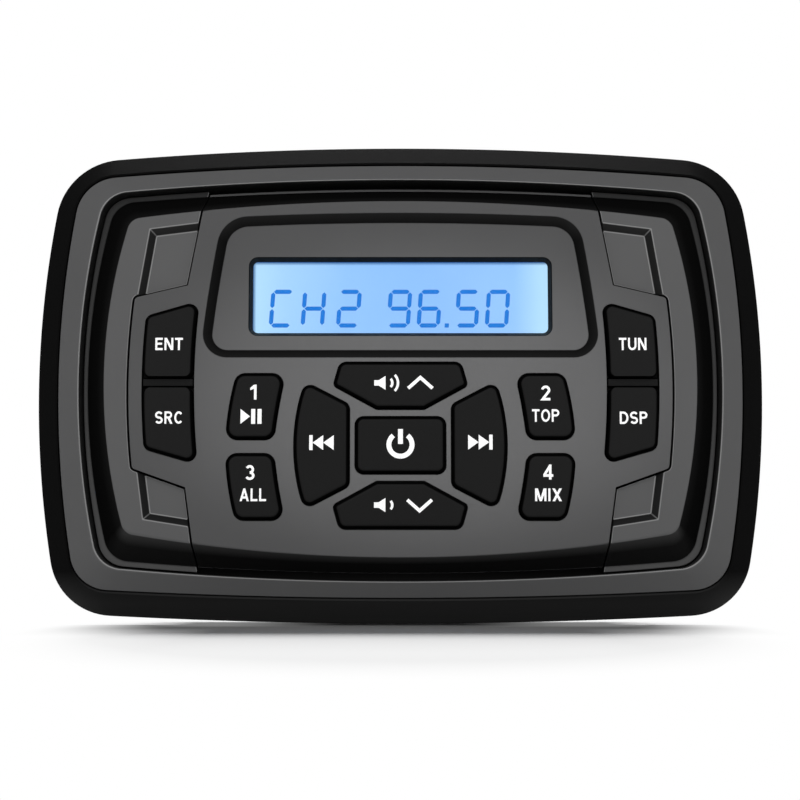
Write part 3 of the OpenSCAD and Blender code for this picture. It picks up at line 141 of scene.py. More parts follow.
def bowedQuarter(line, grow=0.0, stopX=0.0, bowSteps=20, cornerSteps=16):
    # upper right quarter, from the middle of the side to x = stopX
    halfWide, halfHigh, sideR, endR, cornerR = (v + grow for v in line)
    side = (halfWide - sideR, 0.0)
    end = (0.0, halfHigh - endR)
    gap = math.hypot(end[0] - side[0], end[1] - side[1])
    e = ((end[0] - side[0]) / gap, (end[1] - side[1]) / gap)
    a = ((sideR - cornerR) ** 2 - (endR - cornerR) ** 2 + gap ** 2) / (2 * gap)
    rise = math.sqrt((sideR - cornerR) ** 2 - a * a)
    c = (side[0] + a * e[0] - rise * e[1], side[1] + a * e[1] + rise * e[0])
    t0 = math.atan2(c[1] - side[1], c[0] - side[0])
    t1 = math.atan2(c[1] - end[1], c[0] - end[0])
    t2 = math.acos(stopX / endR)
    return (arcPoints(side, sideR, 0, t0, bowSteps)[:-1] + arcPoints(c, cornerR, t0, t1, cornerSteps)
            + arcPoints(end, endR, t1, t2, bowSteps)[1:])


def bowedLine(line, grow=0.0, lower=None):  # whole outline; the lower half can have its own sizes
    q = bowedQuarter(line, grow)
    w = bowedQuarter(lower or line, grow)
    m = len(q) - 1
    return (q + [(-x, z) for x, z in reversed(q[:m])] + [(-x, -z) for x, z in w[1:]]
            + [(x, -z) for x, z in reversed(w[1:m])])


def endCurve(line, grow, x):  # height of the upper bowed edge at x
    endR = line[3] + grow
    return line[1] + grow - endR + math.sqrt(endR * endR - x * x)


# mesh helpers

def ringAt(bm, points, height):
    return [bm.verts.new((x * mm, -height * mm, z * mm)) for x, z in points]


def skin(bm, a, b, closed=True):
    count = len(a)
    for i in range(count if closed else count - 1):
        j = (i + 1) % count
        bm.faces.new((a[i], a[j], b[j], b[i]))


def skinAll(bm, rings):
    for a, b in zip(rings, rings[1:]):
        skin(bm, a, b)


def tube(bm, lineAt, profile):  # walls through the outlines that lineAt gives for each (across, height)
    rings = [ringAt(bm, lineAt(across), height) for across, height in profile]
    skinAll(bm, rings)
    return rings


def fillLoops(bm, loops):  # flat faces between closed loops
    edges = []
    for loop in loops:
        for i, v in enumerate(loop):
            w = loop[(i + 1) % len(loop)]
            edges.append(bm.edges.get((v, w)) or bm.edges.new((v, w)))
    bmesh.ops.triangle_fill(bm, use_beauty=True, use_dissolve=False, edges=edges, normal=(0, -1, 0))


def prism(bm, points, h0, h1):  # flat plate of any outline
    back = ringAt(bm, points, h0)
    front = ringAt(bm, points, h1)
    skin(bm, back, front)
    bm.faces.new(back)
    bm.faces.new(front)


def makePiece(name, bm, body, material, standsFor=(), sharpAngle=42):
    bmesh.ops.recalc_face_normals(bm, faces=bm.faces)
    mesh = bpy.data.meshes.new(name)
    bm.to_mesh(mesh)
    bm.free()
    mesh.materials.append(material)
    mesh.polygons.foreach_set("use_smooth", [True] * len(mesh.polygons))
    mesh.set_sharp_from_angle(angle=math.radians(sharpAngle))
    piece = bpy.data.objects.new(name, mesh)
    bpy.context.scene.collection.objects.link(piece)
    even = piece.modifiers.new("even normals", "WEIGHTED_NORMAL")
    even.keep_sharp = True
    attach(piece, body)
    if standsFor:
        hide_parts(*standsFor)
    return piece


def addBevel(piece, width, segments, angle):
    soften = piece.modifiers.new("soft edges", "BEVEL")
    soften.width = width * mm
    soften.segments = segments
    soften.limit_method = "ANGLE"
    soften.angle_limit = math.radians(angle)
    soften.loop_slide = False
    return soften


# material helpers; a socket's id_data is the node tree that it belongs to

def startMaterial(name):
    material = bpy.data.materials.new(name)
    material.use_nodes = True
    tree = material.node_tree
    return material, tree, tree.nodes["Principled BSDF"]


def addNode(tree, kind, **settings):
    node = tree.nodes.new(kind)
    for key, value in settings.items():
        setattr(node, key, value)
    return node


def setValues(node, values):
    for key, value in values.items():
        node.inputs[key].default_value = value


def wire(source, target):
    source.id_data.links.new(source, target)


def objectPoint(tree, stretch=None):
    point = addNode(tree, "ShaderNodeTexCoord").outputs["Object"]
    if stretch:
        mapping = addNode(tree, "ShaderNodeMapping")
        setValues(mapping, {"Scale": stretch})
        wire(point, mapping.inputs["Vector"])
        point = mapping.outputs["Vector"]
    return point


def partsOf(vector):
    node = addNode(vector.id_data, "ShaderNodeSeparateXYZ")
    wire(vector, node.inputs["Vector"])
    return node.outputs


def distanceOf(tree, stretch):  # distance from the middle of the unit, stretched along each axis
    node = addNode(tree, "ShaderNodeVectorMath", operation="LENGTH")
    wire(objectPoint(tree, stretch), node.inputs[0])
    return node.outputs["Value"]


def noiseOf(tree, scale, detail=3.0, stretch=None):
    noise = addNode(tree, "ShaderNodeTexNoise")
    setValues(noise, {"Scale": scale, "Detail": detail})
    wire(objectPoint(tree, stretch), noise.inputs["Vector"])
    return noise.outputs["Fac"]


def rangeOf(value, span, to=(0, 1), blend="LINEAR"):
    node = addNode(value.id_data, "ShaderNodeMapRange", interpolation_type=blend)
    setValues(node, {"From Min": span[0], "From Max": span[1], "To Min": to[0], "To Max": to[1]})
    wire(value, node.inputs["Value"])
    return node.outputs["Result"]


def mathOf(work, a, b):
    node = addNode(a.id_data, "ShaderNodeMath", operation=work)
    wire(a, node.inputs[0])
    wire(b, node.inputs[1])
    return node.outputs[0]


def productOf(value, *others):
    for other in others:
        value = mathOf("MULTIPLY", value, other)
    return value


def mixColors(factor, a, b):
    node = addNode(factor.id_data, "ShaderNodeMix", data_type="RGBA")
    wire(factor, node.inputs["Factor"])
    for index, color in ((6, a), (7, b)):  # the mix node's colour sockets
        if isinstance(color, tuple):
            node.inputs[index].default_value = (*color, 1)
        else:
            wire(color, node.inputs[index])
    return node.outputs[2]


def grayOf(value):
    return value, value, value


def mixGrays(factor, grays):
    return mixColors(factor, grayOf(grays[0]), grayOf(grays[1]))


def shadeOf(color, k):
    return tuple(min(c * k, 1) for c in color)


def mixShaders(factor, a, b):
    node = addNode(factor.id_data, "ShaderNodeMixShader")
    for source, target in zip((factor, a, b), node.inputs):
        wire(source, target)
    return node.outputs[0]


def roughenBy(noise, shader, low, high):
    wire(rangeOf(noise, (0.3, 0.7), (low, high)), shader.inputs["Roughness"])


def addBump(shader, height, strength, distance):
    bump = addNode(height.id_data, "ShaderNodeBump")
    setValues(bump, {"Strength": strength, "Distance": distance})
    wire(height, bump.inputs["Height"])
    wire(bump.outputs["Normal"], shader.inputs["Normal"])


# where a moulding's gray or gloss changes: places in metres, and parts of the surface's normal
zone = {"lipShadeZ": (-0.038, 0.036), "lipY": (-0.0074, -0.0082), "floorLightZ": (-0.043, -0.05), "wallY": (-0.0104, -0.0131),
        "edgeHighlight": (-0.995, -0.95), "lean": (0, -0.004), "down": (-0.2, -0.5), "open": (-0.1, -0.3),
        "nearZ": (-0.03, 0.036), "nearShare": (1, 0.25), "rimSize": (1 / 0.06, 0, 1 / 0.037), "rimEnd": (0.99, 1),
        "rimY": (-0.0109, -0.0106)}


def tiltOf(tree):  # tilt of the surface from the front and upwards, and 1 where it leans towards the middle
    place = addNode(tree, "ShaderNodeTexCoord")
    flat = addNode(tree, "ShaderNodeVectorMath", operation="MULTIPLY")
    flat.inputs[1].default_value = (1, 0, 1)
    wire(place.outputs["Normal"], flat.inputs[0])
    lean = addNode(tree, "ShaderNodeVectorMath", operation="DOT_PRODUCT")
    wire(flat.outputs["Vector"], lean.inputs[0])
    wire(place.outputs["Object"], lean.inputs[1])
    parts = partsOf(place.outputs["Normal"])
    return parts["Y"], parts["Z"], rangeOf(lean.outputs["Value"], zone["lean"])


def mouldedPlastic(name, color, steep=None, edge=None, lip=None, foot=None, floorLight=None, rim=None,
                   turn=(-0.93, -0.80), roughness=0.45, grain=2600, grainDepth=0.00002, gloss=0.1):
    # fine spark texture and slightly uneven sheen; steep walls take a darker gray (partly two-tone, partly painted
    # shade), inner edges a painted highlight, the sunken lip painted shade, the lower edge and ground-facing slopes
    # painted light, and the window's edge its own gloss
    material, tree, shader = startMaterial(name)
    base = mixColors(noiseOf(tree, 60, 4), shadeOf(color, 0.95), shadeOf(color, 1.05))
    place = partsOf(objectPoint(tree))
    if lip:  # painted shade on the sunken lip: lighter at the lower end of the unit, darker at the upper end, where the ring shades it
        sunken = mixGrays(rangeOf(place["Z"], zone["lipShadeZ"]), lip)
        base = mixColors(rangeOf(place["Y"], zone["lipY"]), sunken, base)
    # painted light from the bright floor: the frame's gray is lighter towards its lower edge
    if foot:
        base = mixColors(rangeOf(place["Z"], zone["floorLightZ"]), base, grayOf(foot))
    if steep:  # steep walls take a darker gray, partly two-tone and partly painted shade, and are darker deep in the groove than near the top as painted shade
        facing, upward, inward = tiltOf(tree)
        if edge:
            # painted highlight: edges that lean towards the middle get a lighter gray
            edgeHighlight = productOf(rangeOf(facing, zone["edgeHighlight"]), inward)
            base = mixColors(edgeHighlight, base, grayOf(edge))
        depth = rangeOf(place["Y"], zone["wallY"])
        wall = mixGrays(depth, steep)
        if floorLight:  # painted light: slopes that face the bright ground get a lighter gray, as if lit from the floor
            down = productOf(rangeOf(upward, zone["down"]), rangeOf(facing, zone["open"]))
            near = rangeOf(place["Z"], zone["nearZ"], zone["nearShare"])
            wall = mixColors(productOf(down, near), wall, mixGrays(depth, floorLight))
        base = mixColors(rangeOf(facing, turn), base, wall)
        shine = rangeOf(facing, turn, (gloss, 0))
        if edge:
            shine = mathOf("MAXIMUM", shine, rangeOf(inward, (0, 1), (0, gloss)))
        if rim:  # the window's edge is glossy
            inside = rangeOf(distanceOf(tree, zone["rimSize"]), zone["rimEnd"], (rim, 0))
            shine = mathOf("MAXIMUM", shine, productOf(inside, rangeOf(place["Y"], zone["rimY"])))
        wire(shine, shader.inputs["Specular IOR Level"])
    wire(base, shader.inputs["Base Color"])
    fine = noiseOf(tree, grain, 2)
    roughenBy(fine, shader, roughness - 0.05, roughness + 0.05)
    setValues(shader, {"Specular IOR Level": gloss})
    addBump(shader, fine, 0.25, grainDepth)
    return material


def softRubber(name, color, steep=None, roughness=0.6):
    return mouldedPlastic(name, color, steep, roughness=roughness, grain=3400, grainDepth=0.000015, gloss=0.05)


def platedMetal(name, color, roughness=0.3, stretch=(2600, 220, 2600)):
    material, tree, shader = startMaterial(name)
    streak = noiseOf(tree, 1.0, 3, stretch)
    dull = noiseOf(tree, 140, 3)
    bright = mixColors(streak, shadeOf(color, 0.92), shadeOf(color, 1.06))
    tarnish = rangeOf(dull, (0.45, 0.75), (0, 0.35))
    wire(mixColors(tarnish, bright, shadeOf(color, 0.72)), shader.inputs["Base Color"])
    roughenBy(dull, shader, roughness - 0.06, roughness + 0.1)
    setValues(shader, {"Metallic": 1.0})
    addBump(shader, streak, 0.06, 0.00001)
    return material


def clearPlastic(name, color, roughness=0.05, bend=1.49, see=1.0):
    material, tree, shader = startMaterial(name)
    haze = noiseOf(tree, 300, 3)
    wire(mixColors(haze, shadeOf(color, 0.98), color), shader.inputs["Base Color"])
    roughenBy(haze, shader, roughness * 0.7, roughness * 1.3)
    setValues(shader, {"Transmission Weight": see, "IOR": bend})
    return material


def circuitBoard(name):  # green lacquer over tracks
    material, tree, shader = startMaterial(name)
    track = addNode(tree, "ShaderNodeTexBrick")
    setValues(track, {"Scale": 160, "Mortar Size": 0.06, "Color1": (0.012, 0.10, 0.04, 1),
                      "Color2": (0.016, 0.13, 0.05, 1), "Mortar": (0.03, 0.2, 0.08, 1)})
    wire(objectPoint(tree), track.inputs["Vector"])
    wire(track.outputs["Color"], shader.inputs["Base Color"])
    roughenBy(noiseOf(tree, 900), shader, 0.25, 0.4)
    addBump(shader, track.outputs["Fac"], 0.2, 0.00003)
    return material


def printWhite(name):  # silk-screened legend, a little worn and lit from behind
    material, tree, shader = startMaterial(name)
    wear = noiseOf(tree, 1800, 3)
    wire(mixGrays(wear, (0.80, 0.92)), shader.inputs["Base Color"])
    roughenBy(wear, shader, 0.45, 0.6)
    setValues(shader, {"Emission Color": (1, 1, 1, 1), "Emission Strength": 0.25})
    return material


glow = {"halfWide": 0.034, "cloud": (0.62, 0.84, 1.0), "left": (-0.0334, -0.0326), "top": (0.0268, 0.026),
        "rimShade": (0.008, 0.07, 0.25),
        "stops": ((0.03, (0.45, 0.74, 1.0)), (0.12, (0.38, 0.66, 1.0)), (0.32, (0.30, 0.57, 0.98)),
                  (0.63, (0.28, 0.54, 1.0)), (0.88, (0.31, 0.58, 1.0)), (0.97, (0.47, 0.76, 1.0)))}


def litDisplay(name):  # blue light, a little brighter at both ends, with painted shade along the left and top edges, where the window's rim shades the cell
    material, tree, shader = startMaterial(name)
    place = partsOf(objectPoint(tree))
    ramp = addNode(tree, "ShaderNodeValToRGB")
    stops = ramp.color_ramp.elements
    while len(stops) < len(glow["stops"]):
        stops.new(0.5)
    for stop, (share, color) in zip(stops, glow["stops"]):
        stop.position = share
        stop.color = (*color, 1)
    wire(rangeOf(place["X"], (-glow["halfWide"], glow["halfWide"])), ramp.inputs["Fac"])
    cloud = rangeOf(noiseOf(tree, 45, 2), (0.35, 0.65), (0, 0.06))
    light = mixColors(cloud, ramp.outputs["Color"], glow["cloud"])
    # painted shade: a dark blue along the left and top edges of the cell
    clear = productOf(rangeOf(place["X"], glow["left"]), rangeOf(place["Z"], glow["top"]))
    wire(mixColors(clear, glow["rimShade"], light), shader.inputs["Emission Color"])
    setValues(shader, {"Emission Strength": 1.0, "Base Color": (0.01, 0.02, 0.04, 1), "Specular IOR Level": 0.02})
    roughenBy(noiseOf(tree, 2000), shader, 0.2, 0.3)
    return material


def darkSegment(name):
    material, tree, shader = startMaterial(name)
    cloud = noiseOf(tree, 400, 2)
    wire(mixColors(cloud, (0.008, 0.16, 0.62), (0.016, 0.20, 0.70)), shader.inputs["Emission Color"])
    setValues(shader, {"Emission Strength": 1.0, "Base Color": (0.005, 0.02, 0.05, 1), "Specular IOR Level": 0.02})
    roughenBy(cloud, shader, 0.3, 0.4)
    return material


# finishes of this unit
finish = {
    # gray face: darker steep walls partly painted shade, the lighter gray on ground-facing slopes painted light
    "grayFace": mouldedPlastic("gray_face_plastic", (0.077, 0.077, 0.078), (0.004, 0.011), floorLight=(0.008, 0.046),
                               rim=0.12),
    # gray trim: 0.26 is a painted highlight on inner edges, (0.066, 0.026) painted shade on the lip
    "grayTrim": mouldedPlastic("gray_trim_plastic", (0.098, 0.098, 0.099), (0.004, 0.009), 0.26, (0.066, 0.026),
                               floorLight=(0.01, 0.048)),
    # gray ring: 0.26 is a painted highlight on its inner edges, the darker steep gray partly painted shade
    "grayRing": mouldedPlastic("gray_ring_plastic", (0.090, 0.090, 0.091), (0.022, 0.022), 0.26,
                               turn=(-0.84, -0.70)),
    # black frame: foot is painted light from the floor along its lower edge
    "blackFrame": mouldedPlastic("black_frame_plastic", (0.0045, 0.0045, 0.0045), foot=0.029, roughness=0.55,
                                 gloss=0.002),
    "blackCase": mouldedPlastic("black_case_plastic", (0.016, 0.016, 0.017), roughness=0.55, grain=1500,
                                grainDepth=0.00005),
    # key rubber: the darker gray on steep sides is partly painted shade
    "keyRubber": softRubber("key_rubber", (0.011, 0.011, 0.011), (0.002, 0.002)),
    "matRubber": softRubber("mat_rubber", (0.008, 0.008, 0.008)),
    "sealRubber": softRubber("seal_rubber", (0.028, 0.028, 0.030), roughness=0.75),
    "pinkRubber": softRubber("contact_strip_rubber", (0.42, 0.22, 0.25)),
    "cream": mouldedPlastic("cream_plastic", (0.66, 0.62, 0.52), roughness=0.4),
    "whiteGuide": mouldedPlastic("light_guide_plastic", (0.82, 0.84, 0.86), roughness=0.2),
    "amber": clearPlastic("amber_fuse_plastic", (0.80, 0.33, 0.02), 0.2, see=0.3),
    "lens": clearPlastic("clear_window", (0.99, 0.995, 1.0), 0.02, 1.1),
    "ledResin": clearPlastic("led_resin", (0.9, 0.88, 0.75), 0.1),
    "sleeve": mouldedPlastic("capacitor_sleeve", (0.014, 0.02, 0.04), roughness=0.3),
    "aluminium": platedMetal("extruded_aluminium", (0.46, 0.47, 0.49), 0.42, (2600, 2600, 60)),
    "nickel": platedMetal("nickel_plate", (0.55, 0.55, 0.53), 0.3),
    "brass": platedMetal("brass", (0.72, 0.52, 0.20), 0.28),
    "copper": platedMetal("copper_winding", (0.60, 0.26, 0.10), 0.3),
    "board": circuitBoard("circuit_board"),
    "legend": printWhite("legend_white"),
    "display": litDisplay("lit_display"),
    "segment": darkSegment("display_segment"),
}
print("finishes made:", len(finish))


# outer frame: bevelled black band, flange with the gasket groove and the panel holes
band = {"chamfer": 0.4, "edge": 2.8, "wide": 5.5, "land": 0.4, "high": 9, "floor": 3,
        "rounds": [0, 0.15, 1.0, 0.25, 0.15, 0], "gasketIn": 3, "gasketWide": 3.2, "gasketDeep": 1.5,
        "rim": (53.8, -40.3, 40.3, 5.3), "rimDeep": 1.2, "mouth": (43, -29, 29, 5),
        "holeR": 2.2, "sinkR": 4, "sinkDeep": 1.6, "holeX": 61, "holeZ": 32}


def makeOuterFrame():
    bm = bmesh.new()
    line = faceLines["frame"]
    wide, high, floor = band["wide"], band["high"], band["floor"]
    points = [(-band["chamfer"], 0), (0, band["chamfer"]), (0, band["edge"]), (band["land"] - wide, high),
              (-wide, high), (-wide, floor)]
    rings = tube(bm, lambda grow: bowedLine(line, grow, faceLines["frameLow"]),
                 roundCorners(points, band["rounds"], 6))
    near, deep = -band["gasketIn"], band["gasketDeep"]
    far = near - band["gasketWide"]
    groove = tube(bm, lambda grow: bowedLine(line, grow), ((near, 0), (near, deep), (far, deep), (far, 0)))
    skin(bm, rings[0], groove[0])
    rim = tube(bm, lambda d: boxLine(*band["rim"], d), ((0, 0), (0, band["rimDeep"])))
    mouth = tube(bm, lambda d: boxLine(*band["mouth"], d), ((0, band["rimDeep"]), (0, floor)))
    skin(bm, rim[-1], mouth[0])
    backHoles, frontHoles = [], []
    wall = ((band["holeR"], 0), (band["holeR"], floor - band["sinkDeep"]), (band["sinkR"], floor))
    for x in (-band["holeX"], band["holeX"]):
        for z in (-band["holeZ"], band["holeZ"]):
            hole = tube(bm, lambda r: circleLine(x, z, r), wall)
            backHoles.append(hole[0])
            frontHoles.append(hole[-1])
    fillLoops(bm, [groove[-1], rim[0]] + backHoles)
    fillLoops(bm, [rings[-1], mouth[-1]] + frontHoles)
    makePiece("outer_frame_shell", bm, "case", finish["blackFrame"], ["outer_frame"], 40)


makeOuterFrame()
print("outer frame made")


# front ring: sloping top between the frame's band and the groove; span is about how far apart its walls are
ring = {"outer": -5.75, "foot": 3, "low": 9, "high": 10.7, "span": 4.4, "lowR": 0.2, "edgeR": 0.45, "steps": 8}


def makeFrontRing():
    bm = bmesh.new()
    outer = bowedLine(faceLines["frame"], ring["outer"], faceLines["frameLow"])
    inner = bowedLine(faceLines["ring"])
    foot, span = ring["foot"], ring["span"]
    profile = roundCorners([(0, foot), (0, ring["low"]), (span, ring["high"]), (span, foot)],
                           [0, ring["lowR"], ring["edgeR"], 0], ring["steps"])
    rings = tube(bm, lambda across: [between(a, b, across / span) for a, b in zip(outer, inner)], profile)
    skin(bm, rings[-1], rings[0])
    makePiece("front_ring_cover", bm, "case", finish["grayRing"], ["front_ring"])


makeFrontRing()
print("front ring made")


# key openings and keys: outline points and corner radii
keyForm = {"r": 2, "smallR": 1.2, "clusterZ": -15.3, "numberZ": -15.6, "stripZ": -1.3}
number = {"nearIn": 27.9, "nearOut": 38.7, "farIn": 25.35, "farOut": 36.35, "near": 1.45, "far": 16.35,
          "outSag": 0.45, "inSag": 0.25, "r": 2.5}
strip = {"inX": 44.8, "inHalf": 18.35, "inSag": 1.05, "outX": 56.7, "outHalf": 14.9, "outSag": 0.7,
         "bridge": 0.75, "cornerR": 1.9}


def flipShape(shape):
    return flipLine(shape[0]), shape[1][::-1]


def backward(shape):  # the same outline, listed the other way round
    return shape[0][::-1], shape[1][::-1]


def boxShape(halfWide, halfHigh, z):
    low, high = z - halfHigh, z + halfHigh
    return [(-halfWide, low), (halfWide, low), (halfWide, high), (-halfWide, high)], [keyForm["r"]] * 4


def skipShape(inX=11.2, inHalf=9.1, outX=21.2, outHalf=14.3, sag=2.45):
    z = keyForm["clusterZ"]
    low, high = (outX, z - outHalf), (outX, z + outHalf)
    bowed = bowPoints(low, high, sag, 12, 0.14)
    points = [(inX, z + inHalf), (inX, z - inHalf), low] + bowed + [high]
    return points, [keyForm["r"]] * 3 + [0] * len(bowed) + [keyForm["r"]]


def volumeShape(nose=(5.3, 7.9), wide=(15, 13.2), far=(13.5, 18.6)):
    z = keyForm["clusterZ"]
    right = [(x, z + up) for x, up in (nose, wide, far)]
    radii = [keyForm["smallR"], keyForm["smallR"], keyForm["r"]]
    return right + flipLine(right), radii + radii[::-1]


def bowedShape(corners, outSag, inSag, steps, clear, nearR, farR):  # four corners, the outer and inner side bowed
    nearIn, nearOut, farOut, farIn = corners
    outer = bowPoints(nearOut, farOut, outSag, steps, clear)
    inner = bowPoints(farIn, nearIn, -inSag, steps, clear)
    points = [nearIn, nearOut] + outer + [farOut, farIn] + inner
    return points, [nearR] * 2 + [0] * len(outer) + [farR] * 2 + [0] * len(inner)


def numberShape(up):
    near, far = (keyForm["numberZ"] + up * number[key] for key in ("near", "far"))
    corners = ((number["nearIn"], near), (number["nearOut"], near), (number["farOut"], far), (number["farIn"], far))
    shape = bowedShape(corners, up * number["outSag"], up * number["inSag"], 8, 0.2, number["r"], number["r"])
    return shape if up > 0 else backward(shape)


def stripOpening():
    z, inHalf, outHalf = keyForm["stripZ"], strip["inHalf"], strip["outHalf"]
    corners = ((strip["inX"], z - inHalf), (strip["outX"], z - outHalf),
               (strip["outX"], z + outHalf), (strip["inX"], z + inHalf))
    return bowedShape(corners, strip["outSag"], strip["inSag"], 12, 0.11, keyForm["r"], keyForm["r"])


def stripHalf(up, spare=0.0):  # one key of the pair, up to the bridge; spare lets the cut edge reach nearer to it
    z = keyForm["stripZ"]
    cut = z + up * (strip["bridge"] - spare)
    corners = ((strip["inX"] + strip["inSag"], cut), (strip["outX"] + strip["outSag"], cut),
               (strip["outX"], z + up * strip["outHalf"]), (strip["inX"], z + up * strip["inHalf"]))
    shape = bowedShape(corners, up * strip["outSag"] / 4, up * strip["inSag"] / 4, 6, 0.25, strip["cornerR"],
                       keyForm["r"])
    return shape if up > 0 else backward(shape)


volumeUp = volumeShape()
keyShapes = {
    "power_key": boxShape(10.1, 6.45, keyForm["clusterZ"]),
    "next_key": skipShape(),
    "previous_key": flipShape(skipShape()),
    "volume_up_key": volumeUp,
    "volume_down_key": (turnOver(volumeUp[0], keyForm["clusterZ"]), volumeUp[1][::-1]),
    "key_2": numberShape(1),
    "key_1": flipShape(numberShape(1)),
    "key_4": numberShape(-1),
    "key_3": flipShape(numberShape(-1)),
}
openings = list(keyShapes.values()) + [stripOpening(), flipShape(stripOpening())]
keyShapes.update({
    "right_upper_key": stripHalf(1),
    "right_lower_key": stripHalf(-1),
    "left_upper_key": flipShape(stripHalf(1)),
    "left_lower_key": flipShape(stripHalf(-1)),
})


# seam between the panel and the side trims, right side from the bottom to the top
seam = {"topX": 44, "bottomX": 45.4, "rootX": 47.5, "wingTop": 20.6, "wingFoot": -24.6, "tipX": 59.3,
        "tipTop": 17.8, "tipFoot": -20.4, "sag": 1.1, "tipR": 1, "far": 54.6}


def seamEnd(edgeX, rootZ):  # x of the straight run past the panel's edge
    return seam["rootX"] + (edgeX - seam["rootX"]) * (seam["far"] - rootZ) / (faceLines["face"][1] - rootZ)


def panelOutline(d=0.0):
    low, high = (seam["tipX"], seam["tipFoot"]), (seam["tipX"], seam["tipTop"])
    bowed = bowPoints(low, high, seam["sag"], 16)
    foot = [(seamEnd(seam["bottomX"], -seam["wingFoot"]), -seam["far"]), (seam["rootX"], seam["wingFoot"])]
    head = [(seam["rootX"], seam["wingTop"]), (seamEnd(seam["topX"], seam["wingTop"]), seam["far"])]
    side = foot + [low] + bowed + [high] + head
    radii = [0, 0, seam["tipR"]] + [0] * len(bowed) + [seam["tipR"], 0, 0]
    line = roundLine(side + flipLine(side), radii + radii[::-1], d)
    return line[:len(line) // 2]  # the right half


def cutAtEdge(a, b, line, grow, up):  # where the run from a to b meets the upper or lower bowed edge
    low, high = 0.0, 1.0
    for step in range(40):
        t = (low + high) / 2
        x, z = between(a, b, t)
        if up * z < endCurve(line, grow, x):
            low = t
        else:
            high = t
    return between(a, b, low)


def seamSide(d, line, grow, lower=None):  # right side of the seam, cut at the bowed edges
    side = panelOutline(d)
    side[0] = cutAtEdge(side[1], side[0], lower or line, grow, -1)
    side[-1] = cutAtEdge(side[-2], side[-1], line, grow, 1)
    return side


def panelLoop(d, line, grow, lower=None, steps=40):
    side = seamSide(d, line, grow, lower)
    top = [side[-1][0] * (1 - 2 * k / steps) for k in range(1, steps)]
    low = [side[0][0] * (2 * k / steps - 1) for k in range(1, steps)]
    return (side + [(x, endCurve(line, grow, x)) for x in top] + flipLine(side)
            + [(x, -endCurve(lower or line, grow, x)) for x in low])


# front panel: raised plate with the sunken display surround and the key openings
panel = {"foot": 3, "wallTop": 7, "top": 13, "plateBack": 10.6, "edgeIn": 0.35, "edgeR": 0.35, "seamR": 0.1,
         "holeR": 0.15, "wall": 1.0, "skirt": 1.2, "ledge": 0.45, "footOut": 0.02, "inset": 4}
recess = {"lowZ": 4.25, "highZ": 36, "lowX": 44.7, "highX": 40.0, "sag": 1.1, "sideSag": 0.36, "lowR": 5.4,
          "highR": 7.0, "floor": 11, "run": 2, "edgeR": 0.5, "wall": 0.2}
window = {"box": (34.2, 9.3, 27.5, 2.2), "back": 9.5, "edgeIn": 0.15, "edgeR": 0.2, "run": 1.0}


def recessLine(d=0.0):
    low, high = (recess["lowX"], recess["lowZ"]), (recess["highX"], recess["highZ"])
    side = bowPoints(low, high, recess["sideSag"], 8, 0.25)
    right = [low] + side + [high]
    radii = [recess["lowR"]] + [0] * len(side) + [recess["highR"]]
    top = bowPoints(high, (-high[0], high[1]), recess["sag"], 24, 0.08)
    return roundLine(right + top + flipLine(right), radii + [0] * len(top) + radii[::-1], d, 10)


def slopeProfile():  # (share of the way from the face line to the foot line, height), from the wall upwards
    run = faceLines["foot"][1] - faceLines["face"][1]
    points = [(run, panel["foot"]), (run, panel["wallTop"]), (panel["edgeIn"], panel["top"]), (-apart, panel["top"])]
    line = roundCorners(points, [0, 0, panel["edgeR"], 0], 6)[1:-1]
    return [(across / run, height) for across, height in line]


def slopeLines(share):  # upper and lower edge lines part of the way down the slope, and how far they grow
    lines = [between(faceLines[key], faceLines["foot"], max(share, 0)) for key in ("face", "faceLow")]
    return *lines, min(share, 0) * panel["inset"]


def makeFacePanel():
    bm = bmesh.new()
    top, back, foot = panel["top"], panel["plateBack"], panel["foot"]
    plain = panelLoop(0, faceLines["foot"], panel["footOut"])
    wide = panelLoop(0, faceLines["foot"], panel["ledge"])
    ledge = [w if w[1] > 0 else p for p, w in zip(plain, wide)]  # only the upper edge has a ledge
    rings = [ringAt(bm, ledge, height) for height in (foot, panel["wallTop"])]
    for share, height in slopeProfile():
        rise = max(0.0, height - (top - panel["seamR"]))  # the seam edge is rounded only near the top
        d = panel["seamR"] - math.sqrt(max(0.0, panel["seamR"] ** 2 - rise ** 2))
        line, lower, grow = slopeLines(share)
        rings.append(ringAt(bm, panelLoop(d, line, grow, lower), height))
    skinAll(bm, rings)
    faceLoops, backLoops = [rings[-1]], []
    wall = roundCorners([(-apart, top), (0, top), (0, back)], [0, panel["holeR"], 0], 4)[1:]
    for points, radii in openings:
        hole = tube(bm, lambda across: roundLine(points, radii, across), wall)
        faceLoops.append(hole[0])
        backLoops.append(hole[-1])
    run, floor = recess["run"], recess["floor"]
    dip = roundCorners([(-apart, top), (0, top), (run, floor), (run + apart, floor)],
                       [0, recess["edgeR"], recess["edgeR"], 0], 5)[1:-1]
    surround = tube(bm, recessLine, dip)
    fillLoops(bm, faceLoops + [surround[0]])
    rim = roundCorners([(-apart, floor), (window["edgeIn"], floor), (window["run"], window["back"])],
                       [0, window["edgeR"], 0], 4)[1:]
    pane = tube(bm, lambda across: boxLine(*window["box"], across), rim)
    fillLoops(bm, [surround[-1], pane[0]])
    boss = tube(bm, recessLine, ((-recess["wall"], back), (-recess["wall"], window["back"])))
    fillLoops(bm, [boss[-1], pane[-1]])
    inner = tube(bm, lambda grow: panelLoop(panel["skirt"], faceLines["face"], grow),
                 ((-panel["wall"], foot), (-panel["wall"], back)))
    skin(bm, rings[0], inner[0])
    fillLoops(bm, [inner[-1], boss[0]] + backLoops)
    makePiece("face_panel_cover", bm, "case", finish["grayFace"], ["face_panel"], 50)


makeFacePanel()
print("front panel made")


